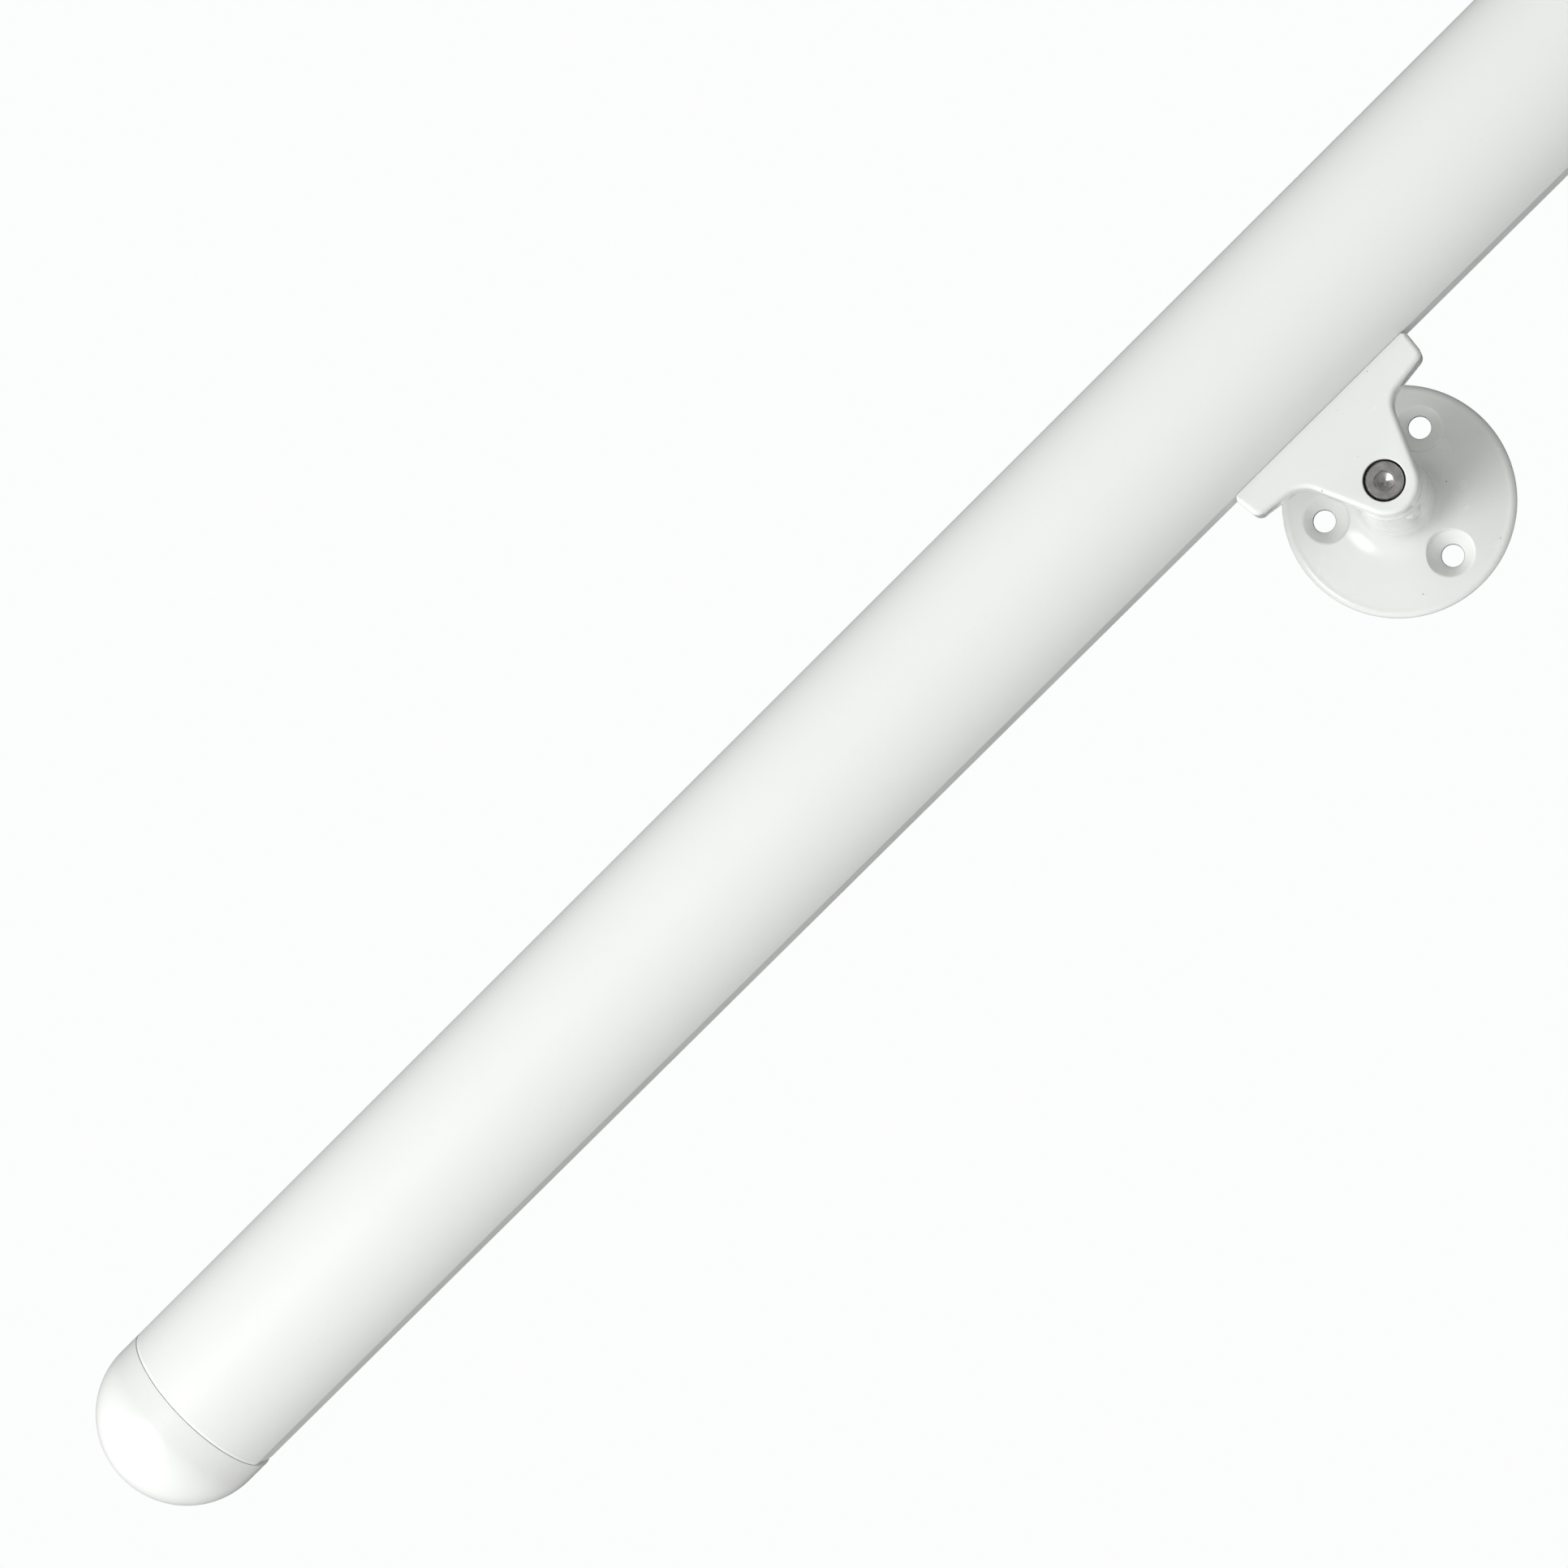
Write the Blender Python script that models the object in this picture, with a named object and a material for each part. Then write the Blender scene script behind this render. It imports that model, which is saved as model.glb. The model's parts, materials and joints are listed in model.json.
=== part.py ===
"""Wall handrail: a round rail with a flat underside, two domed end caps and two pivoting brackets.

Frame: +X runs along the rail, +Y points into the wall and +Z is up. The origin lies on the wall
plane, midway between the two brackets and level with their pivot axes.
"""

import math

import bmesh
import bpy
from mathutils import Vector

MM = 0.001
FIT_GAP = 0.3 * MM             # between pieces that touch on the real object

# Whole rail
OVERALL_LENGTH = 1500 * MM
WALL_TO_RAIL_AXIS = 75 * MM    # leaves 50 mm for a hand between the rail and the wall
PIVOT_TO_RAIL_AXIS = 48.6 * MM
BRACKET_INSET = 435.5 * MM     # from the tip of each end cap to the bracket's pivot axis

# Rail profile
RAIL_RADIUS = 25 * MM
RAIL_WALL = 2.5 * MM
FLAT_WIDTH = 13.2 * MM         # the flat strip along the underside
FLOOR_THICKNESS = 4 * MM       # the thicker floor that takes the saddle screws

# End caps
CAP_LENGTH = 31 * MM
CAP_COLLAR = 7.1 * MM          # the straight part before the dome
CAP_WALL = 2.5 * MM
CAP_RIM_WALL = 1.1 * MM        # the thinner lip at the seam
CAP_RIM_DEPTH = 3 * MM
CAP_BOSS_RADIUS = 5.5 * MM
CAP_BOSS_HOLE_DEPTH = 18 * MM

# Plugs that hold the caps in the rail
INSERT_LENGTH = 30 * MM
INSERT_WEB = 6 * MM
INSERT_SKIRT_WALL = 3 * MM
INSERT_RIB_COUNT = 3
INSERT_RIB_HEIGHT = 0.9 * MM
INSERT_RIB_WIDTH = 2 * MM

# Self-tapping screws, for the plugs and for the saddles
SCREW_RADIUS = 2.1 * MM
SCREW_HEAD_RADIUS = 4 * MM
SCREW_HEAD_HEIGHT = 2.6 * MM
SCREW_TIP = 3 * MM
INSERT_SCREW_LENGTH = 21 * MM
SADDLE_SCREW_LENGTH = 16 * MM
CROSS_RECESS_SPAN = 4.4 * MM
CROSS_RECESS_WIDTH = 1.1 * MM
CROSS_RECESS_DEPTH = 1.5 * MM

# Saddle, measured down from the rail's flat
SADDLE_THICKNESS = 14 * MM
SADDLE_HALF_LENGTH = 31.2 * MM
SADDLE_END_DRAFT = 0.9 * MM
WING_DEPTH = 8.1 * MM
WING_ROOT_HALF = 16.1 * MM
WING_ROOT_DEPTH = 9.9 * MM
ARM_TAPER = math.radians(23.5)
ARM_END_RADIUS = 8.7 * MM
ARM_ROOT_FILLET = 7 * MM
WING_CORNER_RADIUS = 2.4 * MM
SADDLE_TOP_CORNER_RADIUS = 1 * MM
SADDLE_EDGE_ROUND = 1.3 * MM
SADDLE_EDGE_MIN_ANGLE = math.radians(60)
SADDLE_SCREW_OFFSET = 24.5 * MM

# Pivot bolt, an M6 socket-head cap screw, and what lies under its head
BOLT_RADIUS = 3 * MM
BOLT_LENGTH = 20 * MM
BOLT_HEAD_RADIUS = 5 * MM
BOLT_HEAD_HEIGHT = 6 * MM
BOLT_HEAD_CHAMFER = 0.6 * MM
BOLT_HEAD_RECESS = 1 * MM      # the head sits this far below the saddle's face
HEX_ACROSS_FLATS = 5 * MM
HEX_DEPTH = 3 * MM
COUNTERBORE_RADIUS = 5.6 * MM
SPRING_WASHER_RADIUS = 4.95 * MM
SPRING_WASHER_THICKNESS = 1.6 * MM
SPRING_WASHER_SLIT = math.radians(12)
PIVOT_WASHER_RADIUS = 8.6 * MM
PIVOT_WASHER_THICKNESS = 0.8 * MM

# Wall flange, measured out from the wall
FLANGE_RADIUS = 32.5 * MM
FLANGE_RIM_ROUND = 2 * MM
FLANGE_RIM_HEIGHT = 3.6 * MM
FLANGE_ROOT_RADIUS = 17.3 * MM
FLANGE_ROOT_HEIGHT = 6.2 * MM
NECK_BASE_RADIUS = 10.6 * MM
NECK_BASE_HEIGHT = 14 * MM
NECK_END_RADIUS = 9.4 * MM
NECK_END_ROUND = 0.8 * MM
NECK_CORE_RADIUS = 6.5 * MM
NECK_CORE_DEPTH = 46 * MM
NECK_CORE_DRAFT = 1 * MM
TAPPED_DEPTH = 15 * MM
BACK_RECESS_DEPTH = 1.2 * MM
BACK_RIM_WIDTH = 3 * MM
BACK_HUB_RADIUS = 9.5 * MM
WALL_HOLE_COUNT = 3
WALL_HOLE_PITCH_RADIUS = 21.3 * MM
WALL_HOLE_RADIUS = 3.15 * MM
WALL_HOLE_START = math.radians(30)
COUNTERSINK_RADIUS = 6.9 * MM
COUNTERSINK_FACE = 5.4 * MM    # where the countersink reaches its full width
WALL_HOLE_BOSS_RADIUS = 6 * MM

# Fineness of the facets
TURN_STEPS = 36
SMALL_TURN_STEPS = 16
RAIL_STEPS = 56
RING_STEPS = 24
DOME_STEPS = 7
INNER_DOME_STEPS = 4
PAN_HEAD_STEPS = 4
FLARE_STEPS = 5
NECK_END_STEPS = 2
RIM_STEPS = 3
CORNER_STEPS = 4
EDGE_ROUND_STEPS = 2
SMOOTH_BELOW = math.radians(35)

# Worked out from the above
HOLE_RADIUS = SCREW_RADIUS + FIT_GAP
HOLE_TIP = HOLE_RADIUS / 2     # the drill point at the bottom of a blind hole
BOLT_HOLE_RADIUS = BOLT_RADIUS + FIT_GAP
BOLT_HOLE_TIP = BOLT_HOLE_RADIUS / 2
BRACKET_X = OVERALL_LENGTH / 2 - BRACKET_INSET
CAP_SEAM_X = OVERALL_LENGTH / 2 - CAP_LENGTH
RAIL_HALF_LENGTH = CAP_SEAM_X - FIT_GAP
FLAT_DROP = math.sqrt(RAIL_RADIUS**2 - (FLAT_WIDTH / 2)**2)
BORE_RADIUS = RAIL_RADIUS - RAIL_WALL
BORE_FLOOR = FLAT_DROP - FLOOR_THICKNESS
FLAT_HEIGHT = PIVOT_TO_RAIL_AXIS - FLAT_DROP
SADDLE_FRONT = WALL_TO_RAIL_AXIS + SADDLE_THICKNESS / 2
SADDLE_BACK = WALL_TO_RAIL_AXIS - SADDLE_THICKNESS / 2
BOLT_SEAT = SADDLE_FRONT - BOLT_HEAD_RECESS - BOLT_HEAD_HEIGHT
SPRING_WASHER_TOP = BOLT_SEAT - FIT_GAP
COUNTERBORE_FLOOR = SPRING_WASHER_TOP - SPRING_WASHER_THICKNESS - FIT_GAP
PIVOT_WASHER_TOP = SADDLE_BACK - FIT_GAP
NECK_TOP = PIVOT_WASHER_TOP - PIVOT_WASHER_THICKNESS - FIT_GAP

SIDES = (("left", -1), ("right", 1))
LIES_ALONG_Y = (math.radians(90), 0, 0)    # turns a piece's own +Z away from the wall


# Shapes

def arc(centre, radius_x, radius_y, start, end, steps):
    """Points along an arc or a quarter ellipse, both ends included; the angles are in radians."""
    points = []
    for step in range(steps + 1):
        angle = start + (end - start) * step / steps
        points.append((centre[0] + radius_x * math.cos(angle), centre[1] + radius_y * math.sin(angle)))
    return points


def rounded_outline(corners):
    """Round each (x, y, radius) corner of a closed polygon with an arc tangent to its two sides."""
    outline = []
    for index, (x, y, radius) in enumerate(corners):
        corner = Vector((x, y))
        before = (Vector(corners[index - 1][:2]) - corner).normalized()
        after = (Vector(corners[(index + 1) % len(corners)][:2]) - corner).normalized()
        half_angle = before.angle(after) / 2
        middle = corner + (before + after).normalized() * radius / math.sin(half_angle)
        first = corner + before * radius / math.tan(half_angle) - middle
        last = corner + after * radius / math.tan(half_angle) - middle
        turn = math.atan2(first.x * last.y - first.y * last.x, first.dot(last))
        start = math.atan2(first.y, first.x)
        outline += arc(middle, radius, radius, start, start + turn, CORNER_STEPS)
    return outline


def finished_mesh(name, bm):
    """Close a bmesh into a mesh with its faces pointing out and its round faces shaded smooth."""
    bmesh.ops.recalc_face_normals(bm, faces=bm.faces)
    mesh = bpy.data.meshes.new(name)
    bm.to_mesh(mesh)
    bm.free()
    mesh.shade_smooth()
    mesh.set_sharp_from_angle(angle=SMOOTH_BELOW)
    return mesh


def turned(name, profile, closed=False, steps=TURN_STEPS):
    """Turn a profile of (radius, height) points about +Z; an open profile ends on the axis."""
    bm = bmesh.new()
    verts = [bm.verts.new((radius, 0, height)) for radius, height in profile]
    edges = [bm.edges.new(pair) for pair in zip(verts, verts[1:])]
    if closed:
        edges.append(bm.edges.new((verts[-1], verts[0])))
    bmesh.ops.spin(bm, geom=verts + edges, axis=(0, 0, 1), angle=math.tau, steps=steps, use_merge=True)
    bmesh.ops.remove_doubles(bm, verts=bm.verts, dist=0.001 * MM)
    return finished_mesh(name, bm)


def extruded(name, outline, low, high):
    """Extrude a flat outline in the XY plane from low to high along +Z."""
    bm = bmesh.new()
    face = bm.faces.new([bm.verts.new((x, y, low)) for x, y in outline])
    grown = bmesh.ops.extrude_face_region(bm, geom=[face])
    verts = [item for item in grown["geom"] if isinstance(item, bmesh.types.BMVert)]
    bmesh.ops.translate(bm, verts=verts, vec=(0, 0, high - low))
    return finished_mesh(name, bm)


def regular_polygon(count, radius):
    """The corners of a regular polygon round the origin."""
    return arc((0, 0), radius, radius, 0, math.tau * (count - 1) / count, count - 1)


# Objects

def material(name, color, roughness, metallic):
    """A Principled material of one colour and finish."""
    made = bpy.data.materials.new(name)
    made.use_nodes = True
    shader = made.node_tree.nodes["Principled BSDF"]
    shader.inputs["Base Color"].default_value = (*color, 1)
    shader.inputs["Roughness"].default_value = roughness
    shader.inputs["Metallic"].default_value = metallic
    return made


def empty(name, location, rotation=(0, 0, 0)):
    """A parent that marks an axis."""
    made = bpy.data.objects.new(name, None)
    made.location = location
    made.rotation_euler = rotation
    bpy.context.scene.collection.objects.link(made)
    return made


def place(name, mesh, finish, parent, location=(0, 0, 0), rotation=(0, 0, 0)):
    """Put a mesh in the scene as a named piece under its parent."""
    piece = bpy.data.objects.new(name, mesh)
    piece.parent = parent
    piece.location = location
    piece.rotation_euler = rotation
    if not mesh.materials:
        mesh.materials.append(finish)
    bpy.context.scene.collection.objects.link(piece)
    return piece


def combine(piece, name, mesh, location=(0, 0, 0), rotation=(0, 0, 0), operation="DIFFERENCE"):
    """Cut a mesh out of a piece, or join it on; the guide object shares the piece's parent."""
    guide = bpy.data.objects.new(name, mesh)
    guide.parent = piece.parent
    guide.location = location
    guide.rotation_euler = rotation
    guide.hide_render = True
    guide.display_type = "WIRE"
    bpy.context.scene.collection.objects.link(guide)
    modifier = piece.modifiers.new(name, "BOOLEAN")
    modifier.operation = operation
    modifier.solver = "EXACT"
    modifier.object = guide


# Meshes that several pieces share

def rail_mesh():
    """A tube along +X: a round outside and bore, each with a flat along the bottom."""
    loops = []
    for radius, drop in ((RAIL_RADIUS, FLAT_DROP), (BORE_RADIUS, BORE_FLOOR)):
        corner = math.acos(drop / radius)
        start = -math.pi / 2 + corner
        loops.append(arc((0, 0), radius, radius, start, math.tau + start - 2 * corner, RAIL_STEPS))
    bm = bmesh.new()
    outer, inner = [[bm.verts.new((-RAIL_HALF_LENGTH, y, z)) for y, z in loop] for loop in loops]
    faces = []
    for index in range(len(outer)):
        after = (index + 1) % len(outer)
        faces.append(bm.faces.new((outer[index], outer[after], inner[after], inner[index])))
    grown = bmesh.ops.extrude_face_region(bm, geom=faces)
    verts = [item for item in grown["geom"] if isinstance(item, bmesh.types.BMVert)]
    bmesh.ops.translate(bm, verts=verts, vec=(2 * RAIL_HALF_LENGTH, 0, 0))
    return finished_mesh("rail_profile", bm)


def end_cap_mesh():
    """A hollow dome from its seam at z = 0 up to its tip, with a screw boss down the middle."""
    dome = CAP_LENGTH - CAP_COLLAR
    bore = RAIL_RADIUS - CAP_WALL
    boss_angle = math.acos(CAP_BOSS_RADIUS / bore)
    outside = arc((0, CAP_COLLAR), RAIL_RADIUS, dome, math.pi / 2, 0, DOME_STEPS)
    outside[0] = (0, CAP_LENGTH)
    inside = arc((0, CAP_COLLAR), bore, dome - CAP_WALL, 0, boss_angle, INNER_DOME_STEPS)
    boss = [
        (CAP_BOSS_RADIUS, FIT_GAP),
        (HOLE_RADIUS, FIT_GAP),
        (HOLE_RADIUS, CAP_BOSS_HOLE_DEPTH),
        (0, CAP_BOSS_HOLE_DEPTH + HOLE_TIP),
    ]
    rim = [
        (RAIL_RADIUS, 0),
        (RAIL_RADIUS - CAP_RIM_WALL, 0),
        (RAIL_RADIUS - CAP_RIM_WALL, CAP_RIM_DEPTH),
        (bore, CAP_RIM_DEPTH),
    ]
    return turned("end_cap", outside + rim + inside + boss)


def cap_insert_mesh():
    """A ribbed cup that grips the rail's bore; its web is at z = 0 and its skirt runs down -Z."""
    rib_radius = BORE_RADIUS - FIT_GAP
    core_radius = rib_radius - INSERT_RIB_HEIGHT
    pitch = (INSERT_LENGTH - INSERT_RIB_WIDTH) / INSERT_RIB_COUNT
    profile = [(HOLE_RADIUS, 0)]
    for rib in range(INSERT_RIB_COUNT):
        top = -rib * pitch
        profile += [(rib_radius, top), (rib_radius, top - INSERT_RIB_WIDTH)]
        profile += [(core_radius, top - INSERT_RIB_WIDTH - INSERT_RIB_HEIGHT / 2)]
        profile += [(core_radius, top - pitch + INSERT_RIB_HEIGHT / 2)]
    profile += [(core_radius, -INSERT_LENGTH)]
    profile += [(core_radius - INSERT_SKIRT_WALL, -INSERT_LENGTH)]
    profile += [(core_radius - INSERT_SKIRT_WALL, -INSERT_WEB), (HOLE_RADIUS, -INSERT_WEB)]
    return turned("cap_insert", profile, closed=True)


def insert_screw_mesh():
    """A pan-head screw with the underside of its head at z = 0 and its tip up +Z."""
    shoulder = INSERT_SCREW_LENGTH - SCREW_TIP
    head = arc((0, 0), SCREW_HEAD_RADIUS, SCREW_HEAD_HEIGHT, -math.pi / 2, 0, PAN_HEAD_STEPS)
    head[0] = (0, -SCREW_HEAD_HEIGHT)
    shank = [(SCREW_RADIUS, 0), (SCREW_RADIUS, shoulder), (0, INSERT_SCREW_LENGTH)]
    return turned("cap_insert_screw", head + shank, steps=SMALL_TURN_STEPS)


def saddle_screw_mesh():
    """A countersunk screw with the flat of its head at z = 0 and its tip up +Z."""
    cone_top = SCREW_HEAD_RADIUS - SCREW_RADIUS
    shoulder = SADDLE_SCREW_LENGTH - SCREW_TIP
    profile = [
        (0, 0),
        (SCREW_HEAD_RADIUS, 0),
        (SCREW_RADIUS, cone_top),
        (SCREW_RADIUS, shoulder),
        (0, SADDLE_SCREW_LENGTH),
    ]
    return turned("saddle_screw", profile, steps=SMALL_TURN_STEPS)


def saddle_screw_hole_mesh():
    """The countersunk hole for a saddle screw, a fit gap larger all round."""
    mouth = SCREW_HEAD_RADIUS + FIT_GAP
    cone_top = mouth - HOLE_RADIUS
    profile = [(0, -WING_DEPTH), (mouth, -WING_DEPTH), (mouth, 0)]
    profile += [(HOLE_RADIUS, cone_top), (HOLE_RADIUS, SADDLE_SCREW_LENGTH), (0, SADDLE_SCREW_LENGTH)]
    return turned("saddle_screw_hole", profile, steps=SMALL_TURN_STEPS)


def cross_recess_mesh():
    """A plus sign, sunk into a screw's head from z = 0 up +Z."""
    arm = CROSS_RECESS_SPAN / 2
    half = CROSS_RECESS_WIDTH / 2
    quarter = ((arm, -half), (arm, half), (half, half))
    outline = []
    for turn in range(4):
        cosine = round(math.cos(turn * math.pi / 2))
        sine = round(math.sin(turn * math.pi / 2))
        outline += [(x * cosine - y * sine, x * sine + y * cosine) for x, y in quarter]
    return extruded("cross_recess", outline, -CROSS_RECESS_DEPTH, CROSS_RECESS_DEPTH)


def saddle_mesh():
    """Two wings under the rail and one arm down to the pivot, as an outline in x and height."""
    top = FLAT_HEIGHT - FIT_GAP
    arm_point = WING_ROOT_DEPTH + WING_ROOT_HALF / math.tan(ARM_TAPER)
    half = [
        (SADDLE_HALF_LENGTH, top, SADDLE_TOP_CORNER_RADIUS),
        (SADDLE_HALF_LENGTH - SADDLE_END_DRAFT, FLAT_HEIGHT - WING_DEPTH, WING_CORNER_RADIUS),
        (WING_ROOT_HALF, FLAT_HEIGHT - WING_ROOT_DEPTH, ARM_ROOT_FILLET),
    ]
    point = (0, FLAT_HEIGHT - arm_point, ARM_END_RADIUS)
    mirrored = [(-x, height, radius) for x, height, radius in reversed(half)]
    return extruded("saddle", rounded_outline(half + [point] + mirrored), SADDLE_BACK, SADDLE_FRONT)


def pivot_hole_mesh():
    """The saddle's counterbore and bolt hole; +Z runs away from the wall."""
    profile = [
        (0, SADDLE_BACK - MM),
        (BOLT_HOLE_RADIUS, SADDLE_BACK - MM),
        (BOLT_HOLE_RADIUS, COUNTERBORE_FLOOR),
        (COUNTERBORE_RADIUS, COUNTERBORE_FLOOR),
        (COUNTERBORE_RADIUS, SADDLE_FRONT + MM),
        (0, SADDLE_FRONT + MM),
    ]
    return turned("pivot_hole", profile)


def pivot_bolt_mesh():
    """The bolt's head and shank; +Z runs away from the wall."""
    head_top = BOLT_SEAT + BOLT_HEAD_HEIGHT
    tip = BOLT_SEAT - BOLT_LENGTH
    profile = [
        (0, tip),
        (BOLT_RADIUS - BOLT_HEAD_CHAMFER, tip),
        (BOLT_RADIUS, tip + BOLT_HEAD_CHAMFER),
        (BOLT_RADIUS, BOLT_SEAT),
        (BOLT_HEAD_RADIUS, BOLT_SEAT),
        (BOLT_HEAD_RADIUS, head_top - BOLT_HEAD_CHAMFER),
        (BOLT_HEAD_RADIUS - BOLT_HEAD_CHAMFER, head_top),
        (0, head_top),
    ]
    return turned("pivot_bolt", profile, steps=SMALL_TURN_STEPS)


def hex_socket_mesh():
    """The hexagon sunk into the bolt's head."""
    head_top = BOLT_SEAT + BOLT_HEAD_HEIGHT
    corner_radius = HEX_ACROSS_FLATS / math.sqrt(3)
    return extruded("hex_socket", regular_polygon(6, corner_radius), head_top - HEX_DEPTH, head_top + MM)


def spring_washer_mesh():
    """A flattened split ring: a thick arc outline with a slit."""
    start = SPRING_WASHER_SLIT / 2
    end = math.tau - start
    inner_radius = BOLT_HOLE_RADIUS
    outer = arc((0, 0), SPRING_WASHER_RADIUS, SPRING_WASHER_RADIUS, start, end, RING_STEPS)
    inner = arc((0, 0), inner_radius, inner_radius, end, start, RING_STEPS)
    low = SPRING_WASHER_TOP - SPRING_WASHER_THICKNESS
    return extruded("spring_washer", outer + inner, low, SPRING_WASHER_TOP)


def pivot_washer_mesh():
    """The flat ring between the saddle's back and the end of the flange's neck."""
    low = PIVOT_WASHER_TOP - PIVOT_WASHER_THICKNESS
    profile = [
        (BOLT_HOLE_RADIUS, low),
        (PIVOT_WASHER_RADIUS, low),
        (PIVOT_WASHER_RADIUS, PIVOT_WASHER_TOP),
        (BOLT_HOLE_RADIUS, PIVOT_WASHER_TOP),
    ]
    return turned("pivot_washer", profile, closed=True)


def wall_flange_mesh():
    """The turned body: wall plate, flare, tapering neck, tapped hole, and cored and sunk back."""
    neck_end = arc(
        (NECK_END_RADIUS - NECK_END_ROUND, NECK_TOP - NECK_END_ROUND),
        NECK_END_ROUND, NECK_END_ROUND, math.pi / 2, 0, NECK_END_STEPS)
    flare = arc(
        (FLANGE_ROOT_RADIUS, NECK_BASE_HEIGHT),
        FLANGE_ROOT_RADIUS - NECK_BASE_RADIUS, NECK_BASE_HEIGHT - FLANGE_ROOT_HEIGHT,
        math.pi, math.pi * 1.5, FLARE_STEPS)
    rim = arc(
        (FLANGE_RADIUS - FLANGE_RIM_ROUND, FLANGE_RIM_HEIGHT - FLANGE_RIM_ROUND),
        FLANGE_RIM_ROUND, FLANGE_RIM_ROUND, math.pi / 2, 0, RIM_STEPS)
    tapped_hole = [
        (0, NECK_TOP - TAPPED_DEPTH - BOLT_HOLE_TIP),
        (BOLT_HOLE_RADIUS, NECK_TOP - TAPPED_DEPTH),
        (BOLT_HOLE_RADIUS, NECK_TOP),
    ]
    back_and_core = [
        (FLANGE_RADIUS, 0),
        (FLANGE_RADIUS - BACK_RIM_WIDTH, 0),
        (FLANGE_RADIUS - BACK_RIM_WIDTH, BACK_RECESS_DEPTH),
        (BACK_HUB_RADIUS, BACK_RECESS_DEPTH),
        (BACK_HUB_RADIUS, 0),
        (NECK_CORE_RADIUS, 0),
        (NECK_CORE_RADIUS - NECK_CORE_DRAFT, NECK_CORE_DEPTH),
        (0, NECK_CORE_DEPTH),
    ]
    return turned("wall_flange", tapped_hole + neck_end + flare + rim + back_and_core)


def wall_hole_boss_mesh():
    """The land that stands in the back's sunk ring round one wall screw hole."""
    outline = regular_polygon(SMALL_TURN_STEPS, WALL_HOLE_BOSS_RADIUS)
    return extruded("wall_hole_boss", outline, 0, BACK_RECESS_DEPTH + MM)


def wall_hole_mesh():
    """One countersunk wall screw hole, through the flange from its back up +Z."""
    cone_start = COUNTERSINK_FACE - (COUNTERSINK_RADIUS - WALL_HOLE_RADIUS)
    profile = [
        (0, -MM),
        (WALL_HOLE_RADIUS, -MM),
        (WALL_HOLE_RADIUS, cone_start),
        (COUNTERSINK_RADIUS, COUNTERSINK_FACE),
        (COUNTERSINK_RADIUS, NECK_BASE_HEIGHT + MM),
        (0, NECK_BASE_HEIGHT + MM),
    ]
    return turned("wall_hole", profile, steps=SMALL_TURN_STEPS)


# Sub-assemblies

def build_rail(rail_axis, coat):
    """The rail profile, with a pilot hole for each saddle screw."""
    rail = place("rail_profile", rail_mesh(), coat, rail_axis)
    pilot = extruded("pilot_hole", regular_polygon(SMALL_TURN_STEPS, HOLE_RADIUS),
                     -FLAT_DROP - MM, -BORE_FLOOR + MM)
    for side, sign in SIDES:
        for end, way in (("outer", sign), ("inner", -sign)):
            x = sign * BRACKET_X + way * SADDLE_SCREW_OFFSET
            combine(rail, f"pilot_hole_{side}_{end}", pilot, (x, 0, 0))


def build_ends(rail_axis, coat, polyamide, zinc):
    """The end caps, with the plugs and screws that hold them in the rail."""
    cap = end_cap_mesh()
    insert = cap_insert_mesh()
    screw = insert_screw_mesh()
    recess = cross_recess_mesh()
    width = 2 * RAIL_RADIUS
    drop = BORE_FLOOR - FIT_GAP
    below = [(-width, -width), (width, -width), (width, -drop), (-width, -drop)]
    floor = extruded("insert_floor", below, -INSERT_LENGTH - MM, MM)
    for side, sign in SIDES:
        seam = empty(f"cap_seam_{side}", (sign * CAP_SEAM_X, 0, 0), (math.pi / 2, 0, sign * math.pi / 2))
        seam.parent = rail_axis
        place(f"end_cap_{side}", cap, coat, seam)
        plug = place(f"cap_insert_{side}", insert, polyamide, seam)
        combine(plug, f"insert_floor_{side}", floor)
        below_web = -INSERT_WEB - FIT_GAP
        held = place(f"cap_insert_screw_{side}", screw, zinc, seam, (0, 0, below_web))
        combine(held, f"insert_screw_recess_{side}", recess, (0, 0, below_web - SCREW_HEAD_HEIGHT))


def build_saddles(rail_axis, coat, zinc):
    """The saddles and the screws that pull them up against the rail's flat."""
    saddle = saddle_mesh()
    pivot_hole = pivot_hole_mesh()
    screw = saddle_screw_mesh()
    screw_hole = saddle_screw_hole_mesh()
    recess = cross_recess_mesh()
    slope = (WING_ROOT_DEPTH - WING_DEPTH) / (SADDLE_HALF_LENGTH - SADDLE_END_DRAFT - WING_ROOT_HALF)
    head_face = WING_DEPTH + slope * (SADDLE_HALF_LENGTH - SADDLE_END_DRAFT - SADDLE_SCREW_OFFSET)
    head_height = -FLAT_DROP - head_face + FIT_GAP + slope * SCREW_HEAD_RADIUS
    for side, sign in SIDES:
        bracket_x = sign * BRACKET_X
        pivot = (bracket_x, WALL_TO_RAIL_AXIS, -PIVOT_TO_RAIL_AXIS)
        body = place(f"saddle_{side}", saddle, coat, rail_axis, pivot, LIES_ALONG_Y)
        edges = body.modifiers.new("rounded_edges", "BEVEL")
        edges.width = SADDLE_EDGE_ROUND
        edges.segments = EDGE_ROUND_STEPS
        edges.limit_method = "ANGLE"
        edges.angle_limit = SADDLE_EDGE_MIN_ANGLE
        combine(body, f"pivot_hole_{side}", pivot_hole, pivot, LIES_ALONG_Y)
        for end, way in (("outer", sign), ("inner", -sign)):
            place_at = (bracket_x + way * SADDLE_SCREW_OFFSET, 0, head_height)
            combine(body, f"saddle_screw_hole_{side}_{end}", screw_hole, place_at)
            held = place(f"saddle_screw_{side}_{end}", screw, zinc, rail_axis, place_at)
            combine(held, f"saddle_screw_recess_{side}_{end}", recess, place_at)


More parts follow.
